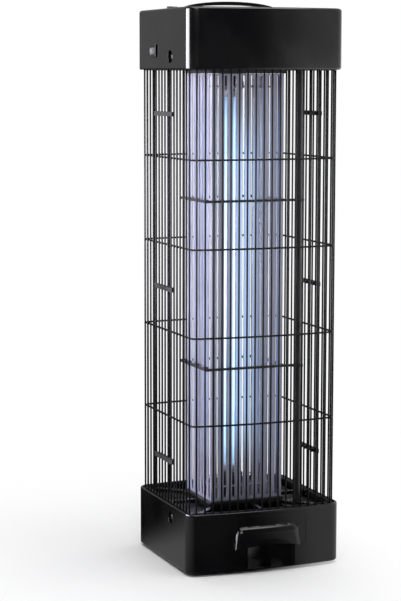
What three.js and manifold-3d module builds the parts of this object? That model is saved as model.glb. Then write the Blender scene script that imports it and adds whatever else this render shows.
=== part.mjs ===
// Electric bug zapper: a square lantern tower with a wire cage around slotted electrode plates and one lamp.
// Millimetres, +Z up, front at -Y. The origin is on the floor below the centre of the tower.
import * as THREE from 'three';
import { mergeVertices } from 'three/addons/utils/BufferGeometryUtils.js';
import Module from 'manifold-3d';

const wasm = await Module();
wasm.setup();

// ---------- driving dimensions ----------
const GAP = 0.3; // assembly clearance between neighbouring pieces
const WIDTH = 184; // housing, side to side
const FLAT_DEPTH = 167; // housing, front to rear, measured at its corners
const BOW = 7; // how far the front and the rear bulge beyond the corners
const CORNER = 14; // radius of the vertical corners
const WALL = 2.5;
const BOW_STEPS = 8; // straight steps in each bowed face
const CORNER_STEPS = 4; // and in each corner

const FOOT_HEIGHT = 3;
const HOUSING_HEIGHT = 67; // base and cap share one height
const BASE_BOTTOM = FOOT_HEIGHT + GAP;
const BASE_TOP = 70;
const CAP_BOTTOM = 556;
const CAP_TOP = CAP_BOTTOM + HOUSING_HEIGHT;
const DECK_DROP = 1.7; // the decks that carry the cage sit this far inside each housing
const DECK_THICKNESS = 4;
const BASE_DECK = BASE_TOP - DECK_DROP;
const CAP_DECK = CAP_BOTTOM + DECK_DROP;

const WIRE = 2;
const WIRE_COUNT = 68;
const CAGE_INSET = 5.4;
const RING_OUTER = CAGE_INSET + 0.3; // the hoops bite into the uprights as a weld does
const RING_INNER = RING_OUTER + WIRE + 0.3;
const BAY_HEIGHT = (CAP_BOTTOM - BASE_TOP) / 5;

const SLEEVE_X = -4.2; // the electrode sleeve stands a little to the left, beside the wiring conduit
const SLEEVE_WIDTH = 86;
const SLEEVE_DEPTH = 76;
const SHEET = 1;
const SLOT_WIDTH = 3.9;
const SLOT_PITCH = 10.35;
const SLOTS_ACROSS = 8; // in the front and the rear sheet
const SLOTS_DEEP = 7; // in the side sheets
const SLOT_FOOT = 3.5; // uncut border below the slots
const SLOT_HEAD = 2; // uncut border above them
const SLEEVE_BOTTOM = BASE_DECK + 4;
const SLEEVE_TOP = CAP_DECK - 6;
const GRID_INSET = 9; // the live grid stands this far inside the sheets
const INNER_ROD = 2;

const LAMP_X = -9;
const TUBE_RADIUS = 13;
const TUBE_LENGTH = 437.4;
const TUBE_BOTTOM = 97.5;
const TUBE_TOP = TUBE_BOTTOM + TUBE_LENGTH;
const LAMP_CAP = 9;
const PIN_SPACING = 12.7;
const PIN_LENGTH = 6.8;
const HOLDER_RADIUS = 14.2;

const BRACE_CENTRE = 317;
const BRACE_SPREAD = 94;
const BRACE_BAR = 3;
const CONDUIT = { x: 56, y: -43, radius: 3.5 };

const TRAY_HALF = 45; // inside the front opening
const TRAY_FRONT_HALF = 46.7;
const TRAY_FLOOR = 30;
const TRAY_RIM = 52;
const TRAY_FRONT_TOP = 65;
const TRAY_REAR = 66;
const RECESS_HALF = 33;
const RECESS_DEPTH = 18;
const PULL_PROUD = 5.5; // how far the pull stands out from the bowed front

const SCREW_Y = -26;
const SCREW_DROP = 14; // from the cage side edge of either housing
const CUP = { radius: 7, depth: 4, boss: 8.2, reach: 9, hole: 2.2 }; // the seat of a side screw
const ROCKER = { y: 26.4, z: CAP_BOTTOM + 20.8, length: 19.5, height: 14.5, tilt: Math.PI / 30 };

const HANDLE = {
  half: 57, pivotY: 58, gripY: 28, gripWidth: 9, arch: 9.3, thickness: 4, lug: 2.1, bore: 1.2, pin: 0.9,
};

const FRONT_Y = -(FLAT_DEPTH / 2 + BOW);
const SIDE_X = WIDTH / 2;

// ---------- materials ----------
function finish(color, roughness, metalness = 0) {
  return { color, roughness, metalness };
}

const GLOSS_BLACK = finish(0x151417, 0.22);
const MATTE_BLACK = finish(0x1c1c1e, 0.55);
const WIRE_BLACK = finish(0x101011, 0.4, 0.3);
const RUBBER = finish(0x202020, 0.9);
const SHEET_METAL = finish(0xb4b5c6, 0.42, 0.85);
const STEEL = finish(0x9a9ca2, 0.35, 1);
const BLACK_STEEL = finish(0x17171a, 0.4, 0.4);
const LAMP_METAL = finish(0xbfc2c8, 0.4, 0.9);
const LAMP_GLASS = finish(0xbfe2ff, 0.12);
const BOARD_GREEN = finish(0x2f5b38, 0.6);
const COPPER = finish(0xb06a3a, 0.4, 0.8);
const WHITE_PLASTIC = finish(0xe4e2da, 0.5);
const GREY_PLASTIC = finish(0x6a6c70, 0.5);

// ---------- solids ----------
function solid(geometry) {
  const bare = geometry.index ? geometry.toNonIndexed() : geometry.clone();
  bare.deleteAttribute('normal');
  bare.deleteAttribute('uv');
  const merged = mergeVertices(bare, 1e-4);
  return new wasm.Manifold(new wasm.Mesh({
    numProp: 3,
    vertProperties: Float32Array.from(merged.attributes.position.array),
    triVerts: Uint32Array.from(merged.index.array),
  }));
}

function union(solids) {
  return solids.reduce((whole, next) => whole.add(next));
}

function cut(body, tools) {
  return tools.reduce((whole, tool) => whole.subtract(tool), body);
}

function box(x0, x1, y0, y1, z0, z1) {
  const geometry = new THREE.BoxGeometry(x1 - x0, y1 - y0, z1 - z0);
  geometry.translate((x0 + x1) / 2, (y0 + y1) / 2, (z0 + z1) / 2);
  return solid(geometry);
}

function turned(profile, segments = 16) {
  const points = profile.map(([r, z]) => new THREE.Vector2(r, z));
  const geometry = new THREE.LatheGeometry(points, segments);
  geometry.rotateX(Math.PI / 2);
  return geometry;
}

function rod(x, y, z0, z1, radius, segments = 16) {
  const geometry = turned([[0, z0], [radius, z0], [radius, z1], [0, z1]], segments);
  geometry.translate(x, y, 0);
  return solid(geometry);
}

// a rod along X between x0 and x1
function crossRod(x0, x1, y, z, radius, segments = 16) {
  const geometry = turned([[0, x0], [radius, x0], [radius, x1], [0, x1]], segments);
  geometry.rotateY(Math.PI / 2);
  geometry.translate(0, y, z);
  return solid(geometry);
}

function tube(x, y, z0, z1, outer, inner, segments = 16) {
  const wall = [[inner, z0], [outer, z0], [outer, z1], [inner, z1], [inner, z0]];
  const geometry = turned(wall, segments);
  geometry.translate(x, y, 0);
  return solid(geometry);
}

// ---------- the bowed square outline that cap, base, cage and decks share ----------
function arcPoints(cx, cy, radius, from, to, steps) {
  const points = [];
  for (let i = 0; i < steps; i += 1) {
    const angle = from + ((to - from) * i) / steps;
    points.push(new THREE.Vector2(cx + radius * Math.cos(angle), cy + radius * Math.sin(angle)));
  }
  return points;
}

function outline(inset = 0, bowSteps = BOW_STEPS, cornerSteps = CORNER_STEPS) {
  const halfWidth = WIDTH / 2 - inset;
  const halfDepth = FLAT_DEPTH / 2 - inset;
  const corner = Math.max(CORNER - inset, 2);
  const radius = (halfWidth ** 2 + BOW ** 2) / (2 * BOW);
  const centre = radius - BOW - halfDepth;
  const cornerX = halfWidth - corner;
  const cornerY = centre - Math.sqrt((radius - corner) ** 2 - cornerX ** 2);
  const swing = Math.atan2(cornerX, centre - cornerY);
  const right = Math.PI / 2;
  return [
    ...arcPoints(0, centre, radius, -right - swing, -right + swing, bowSteps),
    ...arcPoints(cornerX, cornerY, corner, -right + swing, 0, cornerSteps),
    ...arcPoints(cornerX, -cornerY, corner, 0, right - swing, cornerSteps),
    ...arcPoints(0, -centre, radius, right - swing, right + swing, bowSteps),
    ...arcPoints(-cornerX, -cornerY, corner, right + swing, 2 * right, cornerSteps),
    ...arcPoints(-cornerX, cornerY, corner, 2 * right, 3 * right - swing, cornerSteps),
  ];
}

// levels: [z, inset] pairs from the bottom up, skinned into one closed solid
function loft(levels) {
  const rings = levels.map(([, inset]) => outline(inset));
  const count = rings[0].length;
  const positions = rings.flatMap((ring, k) => ring.flatMap((p) => [p.x, p.y, levels[k][0]]));
  const index = [];
  for (let k = 0; k + 1 < rings.length; k += 1) {
    for (let i = 0; i < count; i += 1) {
      const a = k * count + i;
      const b = k * count + ((i + 1) % count);
      index.push(a, b, b + count, a, b + count, a + count);
    }
  }
  const last = (rings.length - 1) * count;
  for (const [a, b, c] of THREE.ShapeUtils.triangulateShape(rings[0], [])) {
    index.push(a, c, b);
    index.push(last + a, last + b, last + c);
  }
  const geometry = new THREE.BufferGeometry();
  geometry.setAttribute('position', new THREE.Float32BufferAttribute(positions, 3));
  geometry.setIndex(index);
  return solid(geometry);
}

function slab(z0, z1, inset) {
  return loft([[z0, inset], [z1, inset]]);
}

function band(z0, z1, outerInset, innerInset) {
  return slab(z0, z1, outerInset).subtract(slab(z0 - 1, z1 + 1, innerInset));
}

// ---------- scene graph ----------
const zapper = new THREE.Group();
zapper.name = 'bug_zapper';

function add(name, shape, look) {
  let geometry = shape;
  if (!shape.isBufferGeometry) {
    const mesh = shape.getMesh();
    geometry = new THREE.BufferGeometry();
    geometry.setAttribute('position', new THREE.BufferAttribute(Float32Array.from(mesh.vertProperties), 3));
    geometry.setIndex(new THREE.BufferAttribute(Uint32Array.from(mesh.triVerts), 1));
  }
  const mesh = new THREE.Mesh(geometry, new THREE.MeshStandardMaterial(look));
  mesh.name = name;
  zapper.add(mesh);
  return mesh;
}

// ---------- shared details ----------
const SIDES = [['left', -1], ['right', 1]];

// cup for a side screw: a boss inside the wall, a wide recess outside it and a hole through both
function withScrewCups(shell, z) {
  let result = shell;
  for (const [, side] of SIDES) {
    const face = side * SIDE_X;
    const inner = side * (SIDE_X - CUP.reach);
    const [low, high] = [face, inner].sort((a, b) => a - b);
    const [bossLow, bossHigh] = [inner, face - side * 0.5].sort((a, b) => a - b);
    const [cupLow, cupHigh] = [face - side * CUP.depth, face + side].sort((a, b) => a - b);
    const boss = crossRod(bossLow, bossHigh, SCREW_Y, z, CUP.boss);
    const recess = crossRod(cupLow, cupHigh, SCREW_Y, z, CUP.radius);
    const hole = crossRod(low - 1, high + 1, SCREW_Y, z, CUP.hole, 10);
    result = cut(result.add(boss), [recess, hole]);
  }
  return result;
}

function addSideScrews(place, z) {
  for (const [sideName, side] of SIDES) {
    const head = [[0, 0], [3.8, 0], [3.8, 1.4], [2.6, 2.4], [0, 2.4]];
    const screw = solid(turned(head, 14));
    const slot = box(-3, 3, -0.5, 0.5, 1.6, 3);
    const shank = rod(0, 0, -14, 0.5, 1.8, 10);
    const mesh = add(`${place}_screw_${sideName}`, cut(screw.add(shank), [slot]), BLACK_STEEL);
    mesh.rotation.y = (side * Math.PI) / 2;
    mesh.position.set(side * (SIDE_X - CUP.depth + GAP), SCREW_Y, z);
  }
}

// ---------- base ----------
function trayFrontZone(grow, z0, z1) {
  return box(-TRAY_FRONT_HALF - grow, TRAY_FRONT_HALF + grow, FRONT_Y - 5, FRONT_Y + 12, z0, z1);
}

function addBaseHousing() {
  const outside = loft([
    [BASE_BOTTOM, 1.2],
    [BASE_BOTTOM + 1.5, 0],
    [BASE_TOP - 1, 0],
    [BASE_TOP, 0.8],
  ]);
  const shell = outside.subtract(slab(BASE_BOTTOM - 1, BASE_TOP + 1, WALL));
  const ledge = band(BASE_DECK - DECK_THICKNESS - 3, BASE_DECK - DECK_THICKNESS - GAP, 1, 9);
  const recessBack = FRONT_Y + RECESS_DEPTH;
  const pocket = box(
    -RECESS_HALF - WALL, RECESS_HALF + WALL, FRONT_Y + 1.5, recessBack + WALL, BASE_BOTTOM, TRAY_FLOOR - 4,
  );
  const finger = box(-RECESS_HALF, RECESS_HALF, FRONT_Y - 5, recessBack, BASE_BOTTOM - 1, TRAY_FLOOR);
  const opening = trayFrontZone(GAP, TRAY_FLOOR - 2 - GAP, TRAY_FRONT_TOP + GAP);
  const trimmed = union([shell, ledge, pocket.intersect(slab(BASE_BOTTOM, BASE_TOP, 0.5))]);
  const body = withScrewCups(cut(trimmed, [finger, opening]), BASE_TOP - SCREW_DROP);
  add('base_housing', body, GLOSS_BLACK);
}

function addBasePlate() {
  const recess = RECESS_HALF + WALL + GAP;
  const plate = slab(BASE_BOTTOM, BASE_BOTTOM + 3, WALL + GAP);
  const notch = box(-recess, recess, FRONT_Y - 5, FRONT_Y + RECESS_DEPTH + WALL + GAP, 0, 12);
  const holes = footPlaces(14).map(([x, y]) => rod(x, y, 0, 12, 2, 10));
  add('base_plate', cut(plate, [notch, ...holes]), MATTE_BLACK);
}

function footPlaces(shift = 0) {
  const x = WIDTH / 2 - 22;
  const y = FLAT_DEPTH / 2 - 22;
  return [[-x + shift, -y], [x - shift, -y], [x - shift, y], [-x + shift, y]];
}

function addFeet() {
  footPlaces().forEach(([x, y], i) => {
    const foot = solid(turned([[0, 0], [8, 0], [9, 1], [9, FOOT_HEIGHT], [0, FOOT_HEIGHT]], 18));
    add(`rubber_foot_${i + 1}`, foot, RUBBER).position.set(x, y, 0);
  });
}

function addBottomScrews() {
  footPlaces(14).forEach(([x, y], i) => {
    const head = rod(0, 0, 1.2, FOOT_HEIGHT, 3.4, 12);
    const screw = head.add(rod(0, 0, 2, 16, 1.6, 8));
    add(`bottom_screw_${i + 1}`, screw, STEEL).position.set(x, y, 0);
  });
}

// a deck with a rim, a frame below the sleeve and eight spokes, open in between
function addBaseDeck() {
  const top = BASE_DECK;
  const bottom = BASE_DECK - DECK_THICKNESS;
  const rim = band(bottom, top, WALL + GAP, 10);
  const halfX = SLEEVE_WIDTH / 2 + 4;
  const halfY = SLEEVE_DEPTH / 2 + 5;
  const frame = box(SLEEVE_X - halfX, SLEEVE_X + halfX, -halfY, halfY, bottom, top);
  const limit = slab(bottom, top, WALL + GAP);
  const spokes = [];
  for (let i = 0; i < 4; i += 1) {
    const angle = (i * Math.PI) / 4;
    const spoke = new THREE.BoxGeometry(280, 5, DECK_THICKNESS);
    spoke.rotateZ(angle);
    spoke.translate(SLEEVE_X * (i % 2), 0, (top + bottom) / 2);
    spokes.push(solid(spoke).intersect(limit));
  }
  const hubArm = box(SLEEVE_X + halfX - 1, CONDUIT.x - 4, CONDUIT.y - 2.5, CONDUIT.y + 2, bottom, top);
  const hub = union([hubArm, rod(CONDUIT.x, CONDUIT.y, bottom, top, 7, 12)]);
  const hubBore = rod(CONDUIT.x, CONDUIT.y, bottom - 1, top + 1, 3, 12);
  const window = box(SLEEVE_X - 30, SLEEVE_X + 30, -30, 30, bottom - 1, top + 1);
  const bridge = box(SLEEVE_X - 31, SLEEVE_X + 31, -6, 6, bottom, top);
  const body = union([rim, frame, ...spokes]).subtract(window);
  add('base_deck', union([body, bridge, hub]).subtract(hubBore), GLOSS_BLACK);
}

function addFunnel() {
  const top = BASE_DECK - DECK_THICKNESS - 3 - GAP;
  const rise = 5;
  const sheet = loft([[top - rise, 26], [top, 9.5]]);
  const under = loft([[top - rise - 3, 26], [top - 2, 9.5]]);
  const mouth = box(-42, 42, -72, 62, 40, 70);
  const frontGap = box(-48, 48, FRONT_Y, -70, 40, 70);
  add('insect_funnel', cut(sheet, [under, mouth, frontGap]), MATTE_BLACK);
}

function addTrayGuide() {
  const inside = TRAY_HALF + GAP;
  const floorTop = TRAY_FLOOR - 2 - GAP;
  const front = FRONT_Y + RECESS_DEPTH + WALL + GAP;
  const rear = TRAY_REAR + 3;
  const channel = box(-inside - 2, inside + 2, front, rear, floorTop - 2, TRAY_RIM - 4);
  const space = box(-inside, inside, front - 1, rear - 2, floorTop, TRAY_RIM);
  const flanges = [];
  for (const [, side] of SIDES) {
    const near = side * (inside + 1);
    const far = side * (SIDE_X - WALL - 8);
    flanges.push(box(Math.min(near, far), Math.max(near, far), -50, 50, TRAY_RIM - 8, TRAY_RIM - 6));
  }
  add('tray_guide', union([channel.subtract(space), ...flanges]), MATTE_BLACK);
}

function trayHood() {
  const hood = new THREE.Shape();
  hood.moveTo(-39.5, 28.4);
  hood.lineTo(-37.5, 47.5);
  hood.quadraticCurveTo(-36.8, 52.5, -31.5, 52.7);
  hood.lineTo(31.5, 52.7);
  hood.quadraticCurveTo(36.8, 52.5, 37.5, 47.5);
  hood.lineTo(39.5, 28.4);
  hood.quadraticCurveTo(0, 38.4, -39.5, 28.4);
  const options = { depth: 12 + PULL_PROUD, bevelEnabled: false, curveSegments: 5 };
  const geometry = new THREE.ExtrudeGeometry(hood, options);
  geometry.rotateX(Math.PI / 2);
  geometry.translate(0, FRONT_Y + 12, 0);
  return solid(geometry);
}

function addTray() {
  const bottom = TRAY_FLOOR - 2;
  const rear = TRAY_REAR;
  const back = FRONT_Y + 10;
  const pan = box(-TRAY_HALF, TRAY_HALF, back, rear, bottom, TRAY_RIM);
  const hollow = box(-TRAY_HALF + 2, TRAY_HALF - 2, back + 2, rear - 2, TRAY_FLOOR, TRAY_RIM + 1);
  const panel = band(bottom, TRAY_FRONT_TOP, 0, WALL).intersect(trayFrontZone(0, bottom, TRAY_FRONT_TOP));
  const web = box(-TRAY_HALF, TRAY_HALF, FRONT_Y + 4, back + 2, bottom, TRAY_RIM);
  const webFit = web.intersect(slab(bottom, TRAY_RIM, 1));
  const pull = trayHood().intersect(loft([[28, -PULL_PROUD], [60, -PULL_PROUD]]));
  add('collection_tray', cut(union([pan, webFit, panel, pull]), [hollow]), GLOSS_BLACK);
}

// ---------- cap ----------
function addCap() {
  const outside = loft([
    [CAP_BOTTOM, 0.8],
    [CAP_BOTTOM + 1, 0],
    [CAP_TOP - 3, 0],
    [CAP_TOP - 1, 0.9],
    [CAP_TOP, 3],
  ]);
  const hollow = slab(CAP_BOTTOM - 1, CAP_TOP - WALL, WALL);
  const ledge = band(CAP_DECK + DECK_THICKNESS + GAP, CAP_DECK + DECK_THICKNESS + 3, 1, 9);
  const rockerHole = box(
    -SIDE_X - 1, -SIDE_X + 6, ROCKER.y - 8.2, ROCKER.y + 8.2, ROCKER.z - 5.7, ROCKER.z + 5.7,
  );
  const inlet = solid(turned([[0, 60], [5.2, 60], [5.2, 110], [0, 110]], 16).rotateX(-Math.PI / 2));
  const inletHole = inlet.translate([0, 0, CAP_BOTTOM + 22]);
  const shell = outside.subtract(hollow).add(ledge);
  const body = withScrewCups(cut(shell, [rockerHole, inletHole]), CAP_BOTTOM + SCREW_DROP);
  add('top_cover', body, GLOSS_BLACK);
}

function addCapDeck() {
  const plate = slab(CAP_DECK, CAP_DECK + DECK_THICKNESS, WALL + GAP);
  const lampHole = rod(LAMP_X, 0, CAP_DECK - 1, CAP_DECK + 9, HOLDER_RADIUS + GAP, 20);
  const wireHole = rod(CONDUIT.x, CONDUIT.y, CAP_DECK - 1, CAP_DECK + 9, 2.8, 12);
  add('cap_deck', cut(plate, [lampHole, wireHole]), MATTE_BLACK);
}

// the bail lies folded on the roof: an arched grip between two arms that reach back to the pivots
function addHandle() {
  const { half, pivotY, gripY, gripWidth, arch, thickness, lug, bore } = HANDLE;
  const z = CAP_TOP + GAP;
  const grip = new THREE.Shape();
  grip.absellipse(0, 0, half, arch, Math.PI, 0, true);
  grip.lineTo(half - 6, 0);
  grip.absellipse(0, 0, half - 6, arch - thickness, 0, Math.PI, false);
  const options = { depth: gripWidth, bevelEnabled: false, curveSegments: 8 };
  const strap = new THREE.ExtrudeGeometry(grip, options);
  strap.rotateX(Math.PI / 2);
  strap.translate(0, gripY + gripWidth / 2, z);
  const pieces = [solid(strap)];
  for (const [, side] of SIDES) {
    const [low, high] = [side * half, side * (half - 5)].sort((a, b) => a - b);
    pieces.push(box(low, high, gripY + gripWidth / 2 - 1, pivotY, z, z + 3));
    pieces.push(crossRod(low, high, pivotY, z + lug, lug, 14));
  }
  const through = crossRod(-half - 1, half + 1, pivotY, z + lug, bore, 12);
  add('carry_handle', cut(union(pieces), [through]), GLOSS_BLACK);
}

function addHandlePivots() {
  const { half, pivotY, lug, pin: pinRadius } = HANDLE;
  const z = CAP_TOP + GAP;
  for (const [sideName, side] of SIDES) {
    const [inner, outer] = [side * (half + GAP), side * (half + 7)];
    const [low, high] = [inner, outer].sort((a, b) => a - b);
    const [pinLow, pinHigh] = [side * (half - 4), outer].sort((a, b) => a - b);
    const block = box(low, high, pivotY - 5, pivotY + 5, z, z + lug);
    const crown = crossRod(low, high, pivotY, z + lug, lug + 0.2, 14);
    const pin = crossRod(pinLow, pinHigh, pivotY, z + lug, pinRadius, 12);
    const under = box(-SIDE_X, SIDE_X, pivotY - 20, pivotY + 20, z - 3, z);
    add(`handle_pivot_${sideName}`, cut(union([block, crown, pin]), [under]), MATTE_BLACK);
  }
}

function addRockerSwitch() {
  const { y, z, length, height } = ROCKER;
  const face = -SIDE_X;
  const bezel = box(face - 1.6, face - GAP, y - length / 2, y + length / 2, z - height / 2, z + height / 2);
  const body = box(face - 1, face + 16, y - 7.8, y + 7.8, z - 5.3, z + 5.3);
  const well = box(face - 3, face + 9, y - 7, y + 7, z - 4.5, z + 4.5);
  add('rocker_housing', bezel.add(body).subtract(well), GLOSS_BLACK);
  const profile = new THREE.Shape();
  profile.moveTo(-6.6, -3);
  profile.lineTo(0, -4.4);
  profile.lineTo(6.6, -3);
  profile.lineTo(6.6, 1.9);
  profile.quadraticCurveTo(0, 0.9, -6.6, 1.9);
  const button = new THREE.ExtrudeGeometry(profile, { depth: 8.2, bevelEnabled: false, curveSegments: 5 });
  const mesh = add('rocker_button', solid(button), MATTE_BLACK);
  mesh.rotation.z = Math.PI / 2 + ROCKER.tilt;
  mesh.position.set(face, y, z - 4.1);
}

function addInlet() {
  const z = CAP_BOTTOM + 22;
  const wall = -FRONT_Y;
  const profile = [
    [2.6, wall - 8], [4.9, wall - 8], [4.9, wall + GAP - 0.2], [6.8, wall + GAP - 0.2],
    [6.4, wall + 1.6], [2.6, wall + 1.6], [2.6, wall - 8],
  ];
  const gland = turned(profile, 16);
  gland.rotateX(-Math.PI / 2);
  gland.translate(0, 0, z);
  add('cord_inlet', solid(gland), RUBBER);
}

// ---------- electrical parts inside the cap ----------
function addElectrics() {
  const floor = CAP_DECK + DECK_THICKNESS + GAP;
  const ballast = box(36, 66, -50, 50, floor, floor + 28);
  add('ballast', cut(ballast, [box(35, 67, -44, 44, floor + 24, floor + 30)]), GREY_PLASTIC);
  const board = box(-70, -28, -58, -6, floor + 5, floor + 6.6);
  const stand = box(-66, -62, -54, -50, floor, floor + 5.5);
  add('circuit_board', board.add(stand), BOARD_GREEN);
  const boardTop = floor + 6.6 + GAP;
  const core = box(-66, -38, -52, -26, boardTop, boardTop + 24);
  const windows = [
    box(-67, -37, -47, -42, boardTop + 5, boardTop + 19),
    box(-67, -37, -36, -31, boardTop + 5, boardTop + 19),
  ];
  add('transformer_core', cut(core, windows), STEEL);
  const winding = box(-62, -42, -46.7, -31.3, boardTop + 5.3, boardTop + 18.7);
  const leg = box(-70, -30, -42 - GAP, -36 + GAP, boardTop, boardTop + 24);
  const collars = [];
  for (const x of [-70, -37.7]) {
    collars.push(box(x, x + 3.7, -46.7, -31.3, boardTop + 5.3, boardTop + 18.7));
  }
  const coil = union([winding.subtract(leg), ...collars]);
  add('transformer_coil', union([coil, ...coilLinks(boardTop)]), COPPER);
  for (let i = 0; i < 2; i += 1) {
    const y = -18 + i * 9;
    const capacitor = box(-62, -44, y - 2.5, y + 2.5, boardTop, boardTop + 12);
    add(`hv_capacitor_${i + 1}`, capacitor, COPPER);
  }
  add('starter_holder', starterHolder(floor), WHITE_PLASTIC);
  add('starter', rod(-50, 45, floor + 6 + GAP, floor + 38, 10.5, 18), WHITE_PLASTIC);
}

function coilLinks(boardTop) {
  const links = [];
  for (const y of [-46.7, -36 + GAP]) {
    links.push(box(-68, -36, y, y + 4.4, boardTop + 5.3, boardTop + 18.7));
  }
  return links;
}

function starterHolder(floor) {
  return box(-64, -36, 31, 59, floor, floor + 6).subtract(rod(-50, 45, floor + 4, floor + 8, 4, 14));
}

// ---------- cage ----------
// walks the outline and returns places at equal spacing, each with the direction it faces
function wirePlaces() {
  const path = outline(CAGE_INSET, 24, 12);
  const lengths = path.map((p, i) => p.distanceTo(path[(i + 1) % path.length]));
  const total = lengths.reduce((sum, length) => sum + length, 0);
  const start = startAtRightMiddle(path, lengths);
  const places = [];
  for (let i = 0; i < WIRE_COUNT; i += 1) {
    places.push(pointAlong(path, lengths, (start + ((i + 0.5) * total) / WIRE_COUNT) % total));
  }
  return places;
}

function startAtRightMiddle(path, lengths) {
  let travelled = 0;
  for (let i = 0; i < path.length; i += 1) {
    const next = path[(i + 1) % path.length];
    if (path[i].x > 0 && path[i].y < 0 && next.y >= 0) {
      return travelled + path[i].distanceTo(new THREE.Vector2(path[i].x, 0));
    }
    travelled += lengths[i];
  }
  return 0;
}

function pointAlong(path, lengths, distance) {
  let rest = distance;
  let i = 0;
  while (rest > lengths[i]) {
    rest -= lengths[i];
    i += 1;
  }
  const next = path[(i + 1) % path.length];
  const point = path[i].clone().lerp(next, rest / lengths[i]);
  return { x: point.x, y: point.y, angle: Math.atan2(next.y - path[i].y, next.x - path[i].x) };
}

function uprightWire({ x, y, angle }, z0, z1) {
  const wire = new THREE.BoxGeometry(WIRE, WIRE, z1 - z0);
  wire.rotateZ(angle);
  wire.translate(x, y, (z0 + z1) / 2);
  return solid(wire);
}

function addCage() {
  const bottom = BASE_DECK + GAP;
  const top = CAP_DECK - GAP;
  const levels = [bottom + 1, ...[1, 2, 3, 4].map((i) => BASE_TOP + i * BAY_HEIGHT), top - 1];
  const hoops = union(levels.map((z) => band(z - 1, z + 1, RING_OUTER, RING_INNER)));
  for (const [name, side] of [['cage_front', -1], ['cage_rear', 1]]) {
    const zone = side < 0 ? box(-100, 100, -100, -0.4, 0, 700) : box(-100, 100, 0.4, 100, 0, 700);
    const wires = wirePlaces().filter(({ y }) => y * side > 0);
    const uprights = wires.map((place) => uprightWire(place, bottom, top));
    add(name, union([hoops.intersect(zone), ...uprights]), WIRE_BLACK);
  }
}

// a comb that snaps over the last wires of both cage halves
function addCageClips() {
  const nearWires = wirePlaces().filter(({ x, y }) => x > 0 && Math.abs(y) < 30).map(({ y }) => y);
  const wireX = WIDTH / 2 - CAGE_INSET;
  const outer = wireX + WIRE / 2 + GAP;
  nearWires.sort((a, b) => a - b);
  for (let level = 0; level < 3; level += 1) {
    const z = BASE_TOP + BAY_HEIGHT * (0.5 + 2 * level);
    for (const [sideName, side] of SIDES) {
      const bar = box(outer, outer + 3, -28, 28, -2.5, 2.5);
      const teeth = [];
      for (let i = 0; i + 1 < nearWires.length; i += 1) {
        const middle = (nearWires[i] + nearWires[i + 1]) / 2;
        teeth.push(box(outer - 3.4, outer + 1, middle - 2, middle + 2, -2, 2));
      }
      const mesh = add(`cage_clip_${sideName}_${level + 1}`, union([bar, ...teeth]), MATTE_BLACK);
      mesh.rotation.z = side > 0 ? 0 : Math.PI;
      mesh.position.set(0, 0, z);
    }
  }
}

// ---------- electrodes ----------
function slottedSheet(half, slotCount) {
  const sheet = box(-half, half, 0, SHEET, SLEEVE_BOTTOM, SLEEVE_TOP);
  const [bottom, top] = [SLEEVE_BOTTOM + SLOT_FOOT, SLEEVE_TOP - SLOT_HEAD];
  const slots = evenly(slotCount).map((x) => (
    box(x - SLOT_WIDTH / 2, x + SLOT_WIDTH / 2, -1, SHEET + 1, bottom, top)
  ));
  return cut(sheet, slots);
}

// places at the slots' pitch, centred on zero
function evenly(count) {
  return Array.from({ length: count }, (_, i) => (i - (count - 1) / 2) * SLOT_PITCH);
}

// the front and rear sheets cover the edges of the side sheets
function addElectrodes() {
  const [halfX, halfY] = [SLEEVE_WIDTH / 2, SLEEVE_DEPTH / 2];
  ['front', 'right', 'rear', 'left'].forEach((name, i) => {
    const angle = (i * Math.PI) / 2;
    const across = i % 2 === 0;
    const sheet = across
      ? slottedSheet(halfX, SLOTS_ACROSS)
      : slottedSheet(halfY - SHEET - GAP, SLOTS_DEEP);
    const mesh = add(`electrode_${name}`, sheet, SHEET_METAL);
    mesh.rotation.z = angle;
    mesh.position.set(SLEEVE_X + halfX * Math.sin(angle), -halfY * Math.cos(angle), 0);
  });
}

function addInnerGrid() {
  const halfX = SLEEVE_WIDTH / 2 - GRID_INSET;
  const halfY = SLEEVE_DEPTH / 2 - GRID_INSET;
  const rodHalf = INNER_ROD / 2;
  const [bottom, top] = [SLEEVE_BOTTOM + GAP, SLEEVE_TOP - GAP];
  const solids = [];
  for (const z of [bottom + 14, top - 14]) {
    const [x, y] = [halfX + rodHalf, halfY + rodHalf];
    const frame = box(-x, x, -y, y, z - rodHalf, z + rodHalf);
    const inside = box(INNER_ROD - x, x - INNER_ROD, INNER_ROD - y, y - INNER_ROD, z - 2, z + 2);
    solids.push(frame.subtract(inside));
  }
  const upright = box(-rodHalf, rodHalf, -rodHalf, rodHalf, bottom, top);
  for (const side of [-1, 1]) {
    evenly(SLOTS_ACROSS - 1).forEach((x) => solids.push(upright.translate([x, side * halfY, 0])));
    evenly(SLOTS_DEEP - 1).forEach((y) => solids.push(upright.translate([side * halfX, y, 0])));
  }
  add('inner_grid', union(solids), STEEL).position.set(SLEEVE_X, 0, 0);
}

function insulator(z0, z1) {
  const halfX = SLEEVE_WIDTH / 2 + 2;
  const halfY = SLEEVE_DEPTH / 2 + 2;
  const plate = box(SLEEVE_X - halfX, SLEEVE_X + halfX, -halfY, halfY, z0, z1);
  return plate.subtract(rod(LAMP_X, 0, z0 - 1, z1 + 1, HOLDER_RADIUS + GAP, 20));
}

function addInsulators() {
  add('insulator_bottom', insulator(BASE_DECK + GAP, SLEEVE_BOTTOM - GAP), MATTE_BLACK);
  add('insulator_top', insulator(SLEEVE_TOP + GAP, CAP_DECK - GAP), MATTE_BLACK);
}

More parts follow.
